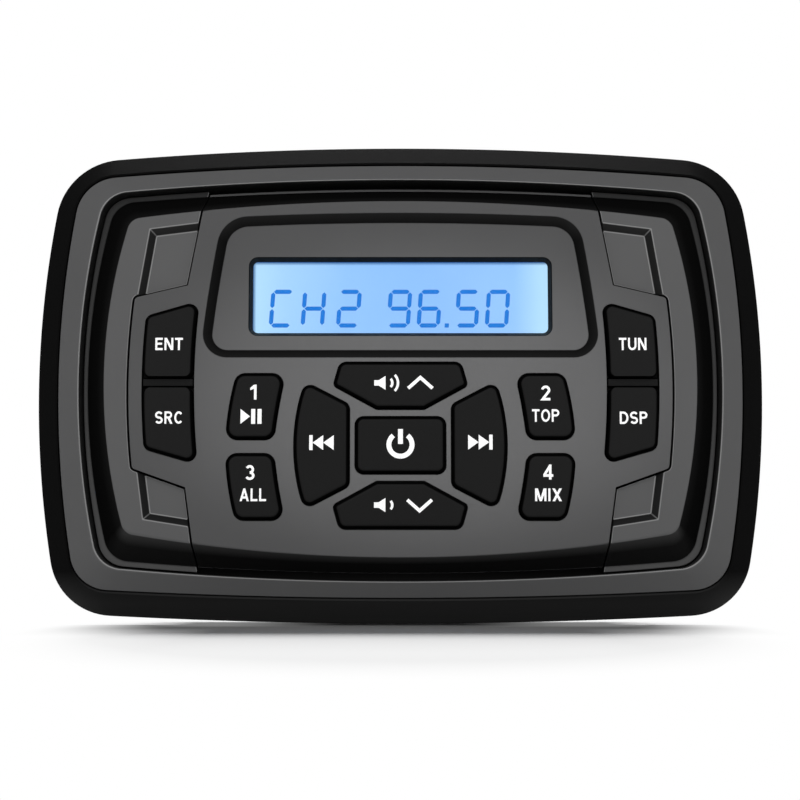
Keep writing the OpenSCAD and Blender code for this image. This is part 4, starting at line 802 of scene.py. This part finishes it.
# side trims: raised covers with two sunken corner tiles each and a thin lip along the groove
trim = {"gap": 0.33, "foot": 3, "lipTop": 7, "lipBack": 5.8, "lipGap": 0.3, "top": 13, "tileDepth": 1.4,
        "tileRun": 1.6, "farX": 39.5, "farZ": -1.3, "edge": 0.26, "edgeSteps": 4, "edgeAngle": 28}
tileForms = {1: {"corner": (56.2, 33.4), "slope": 0.129, "lean": 0.163},  # upper tile
             -1: {"corner": (56.7, -31.65), "slope": 0.158, "lean": 0.14}}  # lower tile


def meet(a, b, c, d):  # where line a-b crosses line c-d
    rx, rz = b[0] - a[0], b[1] - a[1]
    sx, sz = d[0] - c[0], d[1] - c[1]
    t = ((c[0] - a[0]) * sz - (c[1] - a[1]) * sx) / (rx * sz - rz * sx)
    return a[0] + rx * t, a[1] + rz * t


def tileLines(up):  # corner points of a tile's outer edge and of its floor
    form = tileForms[up]
    x, z = form["corner"]
    sideX = x + form["lean"] * abs(z - trim["farZ"])
    endZ = z + up * form["slope"] * (x - trim["farX"])
    outer = [(trim["farX"], endZ), (x, z), (sideX, trim["farZ"])]
    inner = insetLine([(trim["farX"], trim["farZ"])] + outer[::-up], trim["tileRun"])[1:]
    return outer, inner[::-up]


def trimOuter(line, lower, grow):  # bowed edge from the seam's lower end, round the right side, to its upper end
    ends = seamSide(-trim["gap"], line, grow, lower)
    low = [(x, -z) for x, z in reversed(bowedQuarter(lower, grow, ends[0][0]))]
    return low + bowedQuarter(line, grow, ends[-1][0])[1:]


def makeTrim(side):
    bm = bmesh.new()
    foot, lip = faceLines["foot"], faceLines["ring"]
    # upper edge line, lower edge line, growth, height
    levels = [(*slopeLines(share), height) for share, height in reversed(slopeProfile())]
    seamTop = seamSide(-trim["gap"], levels[0][0], levels[0][2], levels[0][1])
    levels += [(lip, lip, -trim["lipGap"], trim["lipTop"]), (lip, lip, -trim["lipGap"], trim["lipBack"]),
               (foot, foot, 0, trim["lipBack"]), (foot, foot, 0, trim["foot"])]
    outers = [ringAt(bm, trimOuter(line, lower, grow), height) for line, lower, grow, height in levels]
    for a, b in zip(outers, outers[1:]):
        skin(bm, a, b, closed=False)
    top, floor, base = trim["top"], trim["top"] - trim["tileDepth"], trim["foot"]

    def corner(p, height):
        return ringAt(bm, [p], height)[0]

    rootLow, rootHigh = seamTop[1], seamTop[-2]
    wing = seamTop[2:-2]  # from the lower wing corner to the upper one
    tiles = []
    for up, seamStart, root, wingEnd in ((1, seamTop[-1], rootHigh, wing[-1]), (-1, seamTop[0], rootLow, wing[0])):
        runs = []
        for line, height in zip(tileLines(up), (top, floor)):
            run = [meet(line[0], line[1], seamStart, root), line[1], meet(line[1], line[2], root, wingEnd)]
            runs.append([corner(p, height) for p in run])
        edge, bed = runs
        tiles.append((edge, bed, corner(root, floor)))
        skin(bm, edge, bed, closed=False)
        bm.faces.new(bed + [tiles[-1][2]])
    wingTop = ringAt(bm, wing, top)
    (upEdge, upBed, upRoot), (lowEdge, lowBed, lowRoot) = tiles
    bm.faces.new(outers[0] + upEdge + wingTop[::-1] + lowEdge[::-1])
    wingBase = ringAt(bm, wing, base)
    upBase, lowBase = corner(rootHigh, base), corner(rootLow, base)
    # walls along the seam, from the upper end to the lower one
    bm.faces.new([o[-1] for o in outers] + [upBase, upRoot, upBed[0], upEdge[0]])
    bm.faces.new([upRoot, upBase, wingBase[-1], wingTop[-1], upEdge[2], upBed[2]])
    skin(bm, wingTop, wingBase, closed=False)
    bm.faces.new([lowRoot, lowBase, wingBase[0], wingTop[0], lowEdge[2], lowBed[2]])
    bm.faces.new([o[0] for o in outers] + [lowBase, lowRoot, lowBed[0], lowEdge[0]])
    bm.faces.new(outers[-1] + [upBase] + wingBase[::-1] + [lowBase])
    if side < 0:
        for v in bm.verts:
            v.co.x = -v.co.x
    name = "left_trim" if side < 0 else "right_trim"
    piece = makePiece(name + "_cover", bm, "case", finish["grayTrim"], [name], 50)
    soften = addBevel(piece, trim["edge"], trim["edgeSteps"], trim["edgeAngle"])
    soften.use_clamp_overlap = False
    piece.modifiers.move(1, 0)


makeTrim(1)
makeTrim(-1)
print("side trims made")


# keys: rounded caps with a lip behind the panel and a stem
cap = {"gap": 0.3, "top": 14.17, "edgeR": 0.95, "leastR": 0.9, "bridgeShare": 0.7, "lip": 0.45, "lipTop": 10.4,
       "lipBack": 9.4, "stemR": 2.2, "stemFoot": 6, "stemRoot": 0.2}
stems = {"power_key": (0, -15.3), "volume_up_key": (0, -2.05), "volume_down_key": (0, -28.55)}
for rightName, leftName, stemX, stemZ in (
        ("next_key", "previous_key", 17.425, -15.3), ("key_2", "key_1", 32.325, -6.725),
        ("key_4", "key_3", 32.025, -24.475), ("right_upper_key", "left_upper_key", 51.625, 7.875),
        ("right_lower_key", "left_lower_key", 51.625, -10.475)):
    stems[rightName], stems[leftName] = (stemX, stemZ), (-stemX, stemZ)


def makeKey(name):
    points, radii = keyShapes[name]
    bm = bmesh.new()
    up = 1 if "upper" in name else -1
    paired = name.startswith(("left", "right"))
    lipLine = roundLine(points, radii, -cap["lip"])
    if paired:  # the lip stays clear of the bridge
        stop = keyForm["stripZ"] + up * (strip["bridge"] + 2 * cap["gap"])
        lipLine = [(x, max(z, stop) if up > 0 else min(z, stop)) for x, z in lipLine]
    rings = [ringAt(bm, lipLine, cap["lipBack"]), ringAt(bm, lipLine, cap["lipTop"])]
    profile = roundCorners([(cap["gap"], cap["lipTop"]), (cap["gap"], cap["top"]), (cap["gap"] + apart, cap["top"])],
                           [0, cap["edgeR"], 0], 8)[:-1]
    for across, height in profile:
        if paired:  # the edge along the bridge is only slightly rounded
            half = stripHalf(up, (across - cap["gap"]) * cap["bridgeShare"])
            points, radii = half if "right" in name else flipShape(half)
        rings.append(ringAt(bm, roundLine(points, radii, across, least=cap["leastR"]), height))
    skinAll(bm, rings)
    bm.faces.new(rings[0])
    bm.faces.new(rings[-1])
    prism(bm, circleLine(*stems[name], cap["stemR"], 32), cap["stemFoot"], cap["lipBack"] + cap["stemRoot"])
    makePiece(name + "_cap", bm, name, finish["keyRubber"], [name], 50)


for keyName in keyShapes:
    makeKey(keyName)
print("keys made:", len(keyShapes))


# legends: thin white print on the key tops, in a plain stroke alphabet
legend = {"back": 14.14, "front": 14.2, "stroke": 0.17, "space": 0.15}


def strokePlate(points, width):  # line of even width with mitred bends
    left, right = [], []
    count = len(points)
    for i, p in enumerate(points):
        a = leftNormal(points[i - 1], p) if i else leftNormal(p, points[1])
        b = leftNormal(p, points[i + 1]) if i < count - 1 else a
        k = width / 2 / (1 + a[0] * b[0] + a[1] * b[1])
        dx, dz = k * (a[0] + b[0]), k * (a[1] + b[1])
        left.append((p[0] + dx, p[1] + dz))
        right.append((p[0] - dx, p[1] - dz))
    return right + left[::-1]


def barPlate(x0, x1, z0, z1):
    return [(x0, z0), (x1, z0), (x1, z1), (x0, z1)]


def arcRun(cx, cz, rx, rz, start, end, steps=14):
    angles = [math.radians(start + (end - start) * k / steps) for k in range(steps + 1)]
    return [(cx + rx * math.cos(t), cz + rz * math.sin(t)) for t in angles]


def makeSigns(t):  # width, strokes and plates of each letter and number, one unit high, with strokes of width t
    h = t / 2
    bowl = (1 - t) / 4
    stem = [(h, 0), (h, 1)]
    loop = [(h, 1 - h)] + arcRun(0.36, 0.71, 0.33 - h, 0.29 - h, 90, -90) + [(h, 0.42 + h)]
    bend = arcRun(0.35, 1 - h - bowl, 0.35 - h, bowl, 25, 270) + arcRun(0.35, h + bowl, 0.35 - h, bowl, 90, -155)[1:]
    return {
        "E": (0.64, [[(0.64, 1 - h), (h, 1 - h), (h, h), (0.64, h)], [(h, 0.52), (0.58, 0.52)]], []),
        "N": (0.76, [stem, [(0.76 - h, 0), (0.76 - h, 1)]], [[(0, 1), (0.76 - t * 1.2, 0), (0.76, 0), (t * 1.2, 1)]]),
        "T": (0.68, [[(0, 1 - h), (0.68, 1 - h)], [(0.34, 0), (0.34, 1)]], []),
        "S": (0.70, [bend], []),
        "C": (0.76, [arcRun(0.4, 0.5, 0.4 - h, 0.5 - h, 42, 318, 24)], []),
        "O": (0.82, [arcRun(0.41, 0.5, 0.41 - h, 0.5 - h, start, start + 180, 18) for start in (0, 180)], []),
        "U": (0.76, [[(h, 1)] + arcRun(0.38, 0.38, 0.38 - h, 0.38 - h, 180, 360) + [(0.76 - h, 1)]], []),
        "D": (0.76, [stem, [(h, 1 - h)] + arcRun(0.32, 0.5, 0.44 - h, 0.5 - h, 90, -90, 18) + [(h, h)]], []),
        "P": (0.69, [stem, loop], []),
        "R": (0.74, [stem, loop], [[(0.26, 0.47), (0.74 - t * 1.25, 0), (0.74, 0), (0.50, 0.47)]]),
        "A": (0.80, [[(0.18, 0.29), (0.62, 0.29)]], [[(0, 0), (t * 1.1, 0), (0.4 + h, 1), (0.4 - h, 1)],
                                                    [(0.8 - t * 1.1, 0), (0.8, 0), (0.4 + h, 1), (0.4 - h, 1)]]),
        "L": (0.60, [[(h, 1), (h, h), (0.60, h)]], []),
        "M": (0.90, [stem, [(0.9 - h, 0), (0.9 - h, 1)]],
              [[(0, 1), (0.45 - h, 0), (0.45 + h, 0), (t * 1.35, 1)],
               [(0.9 - t * 1.35, 1), (0.45 - h, 0), (0.45 + h, 0), (0.9, 1)]]),
        "I": (t, [stem], []),
        "X": (0.76, [], [[(0, 1), (0.76 - t * 1.25, 0), (0.76, 0), (t * 1.25, 1)],
                         [(0, 0), (t * 1.25, 0), (0.76, 1), (0.76 - t * 1.25, 1)]]),
        "1": (0.42, [[(0.42 - h, 0), (0.42 - h, 1)]],
              [[(0, 0.62), (0.42 - h, 0.78), (0.42 - h, 1), (0.42 - t, 1), (0, 0.79)]]),
        "2": (0.62, [arcRun(0.31, 0.70, 0.31 - h, 0.30 - h, 170, -28) + [(h * 1.3, h), (0.62, h)]], []),
        "3": (0.62, [arcRun(0.30, 1 - h - bowl, 0.29 - h, bowl, 155, -90),
                     arcRun(0.30, h + bowl, 0.32 - h, bowl, 90, -155)], []),
        "4": (0.66, [[(0.46, 0), (0.46, 1)], [(0, 0.27), (0.66, 0.27)]],
              [[(0, 0.2), (0, 0.36), (0.40, 1), (0.50, 1), (0.50, 0.84), (0.15, 0.27)]]),
    }


signs = makeSigns(legend["stroke"])


def wordPlates(word, x, z, high, wide=None):
    plates = []
    start = 0.0
    for sign in word:
        width, strokes, shapes = signs[sign]
        for shape in [strokePlate(run, legend["stroke"]) for run in strokes] + shapes:
            plates.append([(start + px, pz) for px, pz in shape])
        start += width + legend["space"]
    full = start - legend["space"]
    scaleX = wide / full if wide else high
    return [[(x + (px - full / 2) * scaleX, z + (pz - 0.5) * high) for px, pz in plate] for plate in plates]


def platesInto(bm, plates, h0, h1):  # joins overlapping flat shapes and gives them a thickness
    points, outlines = [], []
    for plate in plates:
        area = sum(a[0] * b[1] - b[0] * a[1] for a, b in zip(plate, plate[1:] + plate[:1]))
        ordered = plate if area > 0 else plate[::-1]
        outlines.append(list(range(len(points), len(points) + len(ordered))))
        points += [Vector(p) for p in ordered]
    flat = delaunay_2d_cdt(points, [], outlines, 1, 1e-5)
    corners = [tuple(p) for p in flat[0]]
    faces = [face for face, source in zip(flat[2], flat[5]) if source]  # the counters of letters stay open
    back, front = ringAt(bm, corners, h0), ringAt(bm, corners, h1)
    sides = set()
    for face in faces:
        bm.faces.new([front[i] for i in face])
        bm.faces.new([back[i] for i in reversed(face)])
        sides.update(zip(face, face[1:] + face[:1]))
    for i, j in sorted(sides):
        if (j, i) not in sides:
            bm.faces.new((front[i], back[i], back[j], front[j]))
    loose = [v for v in back + front if not v.link_faces]
    bmesh.ops.delete(bm, geom=loose, context="VERTS")


def powerSign(x, z, r=2.55, stroke=1.08, drop=0.35, foot=-0.2, head=3.1):
    ring = arcRun(x, z - drop, r, r, 128, 412, 40)
    return [strokePlate(ring[:21], stroke), strokePlate(ring[20:], stroke),
            barPlate(x - stroke / 2, x + stroke / 2, z + foot, z + head)]


def skipSign(x, z, way, wide=5.4, high=3.3, bar=0.75):
    step = (wide - bar) / 2
    plates = []
    for k in range(2):
        start = x - way * wide / 2 + way * step * k
        plates.append([(start, z - high / 2), (start + way * step, z), (start, z + high / 2)])
    ends = sorted((x + way * wide / 2, x + way * wide / 2 - way * bar))
    return plates + [barPlate(*ends, z - high / 2, z + high / 2)]


def playPauseSign(x, z, high=3.3, bar=0.9):
    bars = [barPlate(start, start + bar, z - high / 2, z + high / 2) for start in (x + 0.05, x + 1.45)]
    return [[(x - 2.3, z - high / 2), (x - 0.2, z), (x - 2.3, z + high / 2)]] + bars


def chevronSign(x, z, up, wide=5.4, high=2.4, stroke=0.74):
    low, tip = z - up * high / 2, z + up * high / 2
    return [strokePlate([(x - wide / 2, low), (x, tip), (x + wide / 2, low)], stroke)]


def speakerSign(x, z, waves, first=1.3, step=1.25, stroke=0.55):
    horn = [(-2.6, -0.6), (-1.6, -0.6), (-0.1, -1.55), (-0.1, 1.55), (-1.6, 0.6), (-2.6, 0.6)]
    radii = [first + step * k for k in range(waves)]
    return [[(x + dx, z + dz) for dx, dz in horn]] + [strokePlate(arcRun(x + 0.1, z, r, r, -44, 44), stroke)
                                                      for r in radii]


legends = {
    "left_upper_key": wordPlates("ENT", -51.3, 7.15, 2.75, 6.1),
    "left_lower_key": wordPlates("SRC", -51.1, -9.25, 2.75, 6.1),
    "right_upper_key": wordPlates("TUN", 51.5, 7.15, 2.75, 6.1),
    "right_lower_key": wordPlates("DSP", 51.45, -9.3, 2.75, 6.1),
    "key_1": wordPlates("1", -32.5, -3.6, 3.3) + playPauseSign(-33.0, -9.0),
    "key_2": wordPlates("2", 32.1, -3.8, 3.3) + wordPlates("TOP", 32.05, -8.8, 2.8, 6.0),
    "key_3": wordPlates("3", -33.1, -21.4, 3.3) + wordPlates("ALL", -32.4, -26.3, 2.8, 5.8),
    "key_4": wordPlates("4", 32.5, -21.3, 3.3) + wordPlates("MIX", 32.5, -26.3, 2.8, 5.9),
    "previous_key": skipSign(-17.4, -14.8, -1),
    "next_key": skipSign(17.6, -14.7, 1),
    "power_key": powerSign(0, -14.9),
    "volume_up_key": speakerSign(-3.2, -1.55, 2) + chevronSign(4.4, -1.55, 1),
    "volume_down_key": speakerSign(-3.2, -28.55, 1) + chevronSign(4.2, -28.6, -1),
}
for keyName, plates in legends.items():
    printMesh = bmesh.new()
    platesInto(printMesh, plates, legend["back"], legend["front"])
    makePiece(keyName + "_legend", printMesh, keyName, finish["legend"])
print("legends made:", len(legends))


# display read-out: slanted segments just in front of the cell
readout = {"back": 7.78, "front": 7.86, "low": 11.8, "high": 20.45, "wide": 5.3, "stroke": 0.95, "slant": 0.07,
           "split": 0.12, "dot": barPlate(9.95, 10.9, 11.8, 12.75), "dotLean": 0.07}
digits = (("C", -29.8), ("H", -22.6), ("2", -14.6), ("9", -3.2), ("6", 3.6), ("5", 12.2), ("0", 19.0))
digitParts = {"0": "abcdef", "2": "abged", "5": "afgcd", "6": "afgecd", "9": "abcdfg", "C": "afed", "H": "fegbc"}


def segmentInto(bm, p, q):  # six-sided bar between two points
    dx, dz = unitOf(q[0] - p[0], q[1] - p[1])
    h = readout["stroke"] / 2
    s = readout["split"]
    a, b = (p[0] + dx * s, p[1] + dz * s), (q[0] - dx * s, q[1] - dz * s)
    flat = [a, (a[0] + dx * h + dz * h, a[1] + dz * h - dx * h), (b[0] - dx * h + dz * h, b[1] - dz * h - dx * h), b,
            (b[0] - dx * h - dz * h, b[1] - dz * h + dx * h), (a[0] + dx * h - dz * h, a[1] + dz * h + dx * h)]
    lean = [(x + (z - readout["low"]) * readout["slant"], z) for x, z in flat]
    prism(bm, lean, readout["back"], readout["front"])


def digitInto(bm, sign, x):
    half = readout["stroke"] / 2
    x0, x1 = x + half, x + readout["wide"] - half
    z0, z2 = readout["low"] + half, readout["high"] - half
    z1 = (z0 + z2) / 2
    runs = {"a": ((x0, z2), (x1, z2)), "b": ((x1, z1), (x1, z2)), "c": ((x1, z0), (x1, z1)),
            "d": ((x0, z0), (x1, z0)), "e": ((x0, z0), (x0, z1)), "f": ((x0, z1), (x0, z2)),
            "g": ((x0, z1), (x1, z1))}
    for part in digitParts[sign]:
        segmentInto(bm, *runs[part])


def makeReadout():
    bm = bmesh.new()
    for sign, x in digits:
        digitInto(bm, sign, x)
    dot = [(x + (readout["dotLean"] if z > readout["low"] else 0), z) for x, z in readout["dot"]]
    prism(bm, dot, readout["back"], readout["front"])
    makePiece("display_readout", bm, "case", finish["segment"])


makeReadout()
print("read-out made")


# carried-over solids: finishes, and the ones with softened edges
nodeFinish = {
    "lens": ["display_lens"], "display": ["lcd_glass"], "whiteGuide": ["backlight"], "pinkRubber": ["zebra_strips"],
    "matRubber": ["keypad_mat"], "ledResin": ["key_leds"], "sealRubber": ["front_seal", "panel_gasket"],
    "aluminium": ["heat_sink"], "sleeve": ["filter_capacitors"], "copper": ["choke_coil"], "amber": ["blade_fuse"],
    "cream": ["harness_socket", "line_cores"], "board": ["key_board", "main_board", "radio_module"],
    "blackCase": ["lcd_frame", "board_socket", "rear_housing", "amplifier_chip", "voltage_regulator", "line_block",
                  "fuse_holder"],
    "brass": ["key_contacts", "harness_pins", "antenna_contact", "support_insert"],
    "nickel": ["board_header", "chip_clamp", "tuner_module", "antenna_socket", "line_sockets", "panel_screws",
               "housing_screws", "heat_sink_screws", "board_screws", "clamp_screws"],
}
softEdges = {"panel_gasket": 0.2, "rear_housing": 0.35, "heat_sink": 0.2, "harness_socket": 0.2,
             "antenna_socket": 0.2, "line_sockets": 0.15, "fuse_holder": 0.2, "blade_fuse": 0.2,
             "support_insert": 0.15, "housing_screws": 0.15, "heat_sink_screws": 0.15}


def softenNode(node, edge, mergeGap=1e-6, flatAngle=0.2):
    weld = node.modifiers.new("weld", "WELD")
    weld.merge_threshold = mergeGap
    merge = node.modifiers.new("flat faces", "DECIMATE")
    merge.decimate_type = "DISSOLVE"
    merge.angle_limit = math.radians(flatAngle)
    soften = addBevel(node, edge, 2, 30)
    soften.harden_normals = True


for finishName, nodeNames in nodeFinish.items():
    for nodeName in nodeNames:
        nodes[nodeName].data.materials.clear()
        nodes[nodeName].data.materials.append(finish[finishName])
for nodeName, edge in softEdges.items():
    softenNode(nodes[nodeName], edge)
print("solids dressed:", sum(map(len, nodeFinish.values())))


# stage: white floor that keeps the shadow, soft boxes, camera; places in metres but for the floor's height
# several entries below set painted light that lightens parts of the cast shadow near the unit
stage = {"floor": -54.9, "halfWide": 6, "floorColor": 0.86, "clearSize": (1 / 0.078, 1 / 0.22, 0),
         "clear": (0.62, 1), "near": (0.056, 0.106), "nearClear": 0.5, "ends": (0.036, 0.064),
         "tail": (0.03, 0.085), "paintedUnderLight": 0.19, "liftX": (0.012, 0.042), "liftY": (-0.024, -0.004),
         "liftEnd": (0.03, 0.06), "ambient": 0.15}


def seenRay(tree, other):  # full strength for camera, mirror and see-through rays, another for the rest
    path = addNode(tree, "ShaderNodeLightPath").outputs
    direct = mathOf("MAXIMUM", path["Is Camera Ray"], path["Is Glossy Ray"])
    return rangeOf(mathOf("MAXIMUM", direct, path["Is Transmission Ray"]), (0, 1), (other, 1))


def paperSurface(tree):
    paper = addNode(tree, "ShaderNodeBsdfDiffuse")
    setValues(paper, {"Color": (*grayOf(stage["floorColor"]), 1)})
    aside, along = distanceOf(tree, (1, 0, 0)), distanceOf(tree, (0, 1, 0))
    depth = partsOf(objectPoint(tree))["Y"]
    # far from the unit the paper is plain white to the eye, with no horizon; the shadow's far part is lightened by
    # half as painted light
    far = rangeOf(distanceOf(tree, stage["clearSize"]), stage["clear"], blend="SMOOTHSTEP")
    near = rangeOf(along, stage["near"], (0, stage["nearClear"]), "SMOOTHSTEP")
    # painted light: the shadow is lightened beneath the frame beside the middle, and its outer ends are lightened
    # sooner
    paintedUnderLight = productOf(rangeOf(aside, stage["liftX"], (0, stage["paintedUnderLight"]), "SMOOTHSTEP"), rangeOf(depth, stage["liftY"]),
                     rangeOf(depth, stage["liftEnd"], (1, 0)))
    blankAndPaintedLight = mathOf("MAXIMUM", mathOf("MAXIMUM", far, near), paintedUnderLight)
    ends = productOf(rangeOf(aside, stage["ends"]), rangeOf(along, stage["tail"]))
    blankAndPaintedLight = mathOf("SUBTRACT", mathOf("ADD", blankAndPaintedLight, ends), productOf(blankAndPaintedLight, ends))
    blank = addNode(tree, "ShaderNodeEmission")
    shown = mixShaders(productOf(blankAndPaintedLight, seenRay(tree, 0)), paper.outputs[0], blank.outputs[0])
    # from below the paper is open, so the underside of the unit can be looked at
    below = addNode(tree, "ShaderNodeNewGeometry").outputs["Backfacing"]
    return mixShaders(below, shown, addNode(tree, "ShaderNodeBsdfTransparent").outputs[0])


def makeStage():
    bm = bmesh.new()
    wide = stage["halfWide"]
    bm.faces.new([bm.verts.new((x, y, stage["floor"] * mm)) for x, y in barPlate(-wide, wide, -wide, wide)])
    mesh = bpy.data.meshes.new("studio_floor")
    bm.to_mesh(mesh)
    bm.free()
    floor = bpy.data.objects.new("studio_floor", mesh)
    bpy.context.scene.collection.objects.link(floor)
    material = bpy.data.materials.new("studio_floor")
    material.use_nodes = True
    tree = material.node_tree
    tree.nodes.clear()
    wire(paperSurface(tree), addNode(tree, "ShaderNodeOutputMaterial").inputs["Surface"])
    mesh.materials.append(material)

    world = bpy.data.worlds.new("studio")
    bpy.context.scene.world = world
    world.use_nodes = True
    back = world.node_tree.nodes["Background"]
    setValues(back, {"Color": (1, 1, 1, 1)})
    wire(seenRay(world.node_tree, stage["ambient"]), back.inputs["Strength"])


softBoxes = {
    "front_box": {"at": (-0.15, -2.0, 1.2), "size": (2.4, 1.4), "watts": 27.0},
    "low_box": {"at": (0.2, -1.6, 0.0), "size": (1.6, 0.08), "watts": 7.0},
    "back_box": {"at": (0, 0.7, 0.85), "size": (0.6, 0.5), "watts": 17.0},
}
sheen = {"at": (0.02, -1.2, 0.1), "aim": (0.005, 0, -0.005), "radius": 0.041, "stretch": 1.75, "watts": 29.0,
         "soft": 0.004}


def placeLight(name, kind, watts, at, aim=(0, 0, 0)):
    lamp = bpy.data.lights.new(name, kind)
    lamp.energy = watts
    holder = bpy.data.objects.new(name, lamp)
    holder.location = at
    holder.rotation_euler = (Vector(aim) - Vector(at)).to_track_quat("-Z", "Y").to_euler()
    bpy.context.scene.collection.objects.link(holder)
    return holder, lamp


def linkLight(holder, piece, state):
    group = bpy.data.collections.new(holder.name + "_group")
    group.objects.link(bpy.data.objects[piece])
    holder.light_linking.receiver_collection = group
    group.collection_objects[0].light_linking.link_state = state


def makeLights():
    for name, box in softBoxes.items():
        holder, lamp = placeLight(name, "AREA", box["watts"], box["at"])
        lamp.shape = "RECTANGLE"
        lamp.size, lamp.size_y = box["size"]
        if name != "back_box":  # flagged off the paper, so the shadow stays clear
            linkLight(holder, "studio_floor", "EXCLUDE")
    # soft wide pool of light on the front panel
    holder, lamp = placeLight("panel_sheen", "SPOT", sheen["watts"], sheen["at"], sheen["aim"])
    lamp.shadow_soft_size = sheen["soft"]
    lamp.spot_size = 2 * math.atan(sheen["radius"] / math.dist(sheen["at"], sheen["aim"]))
    lamp.spot_blend = 1.0
    holder.scale = (sheen["stretch"], 1, 1)
    linkLight(holder, "face_panel_cover", "INCLUDE")


shot = {"at": (-0.0001, -0.3762, -0.0458), "tilt": 6.374, "lens": 74.2, "sensor": 36, "nearest": 0.005}


def makeCamera():
    data = bpy.data.cameras.new("front_camera")
    data.lens = shot["lens"]
    data.sensor_width = shot["sensor"]
    data.clip_start = shot["nearest"]
    camera = bpy.data.objects.new("front_camera", data)
    camera.location = shot["at"]
    camera.rotation_euler = (math.radians(90 + shot["tilt"]), 0, 0)
    bpy.context.scene.collection.objects.link(camera)
    bpy.context.scene.camera = camera


makeStage()
makeLights()
makeCamera()
bpy.context.scene.view_settings.view_transform = "Standard"
print("stage, lights and camera made")
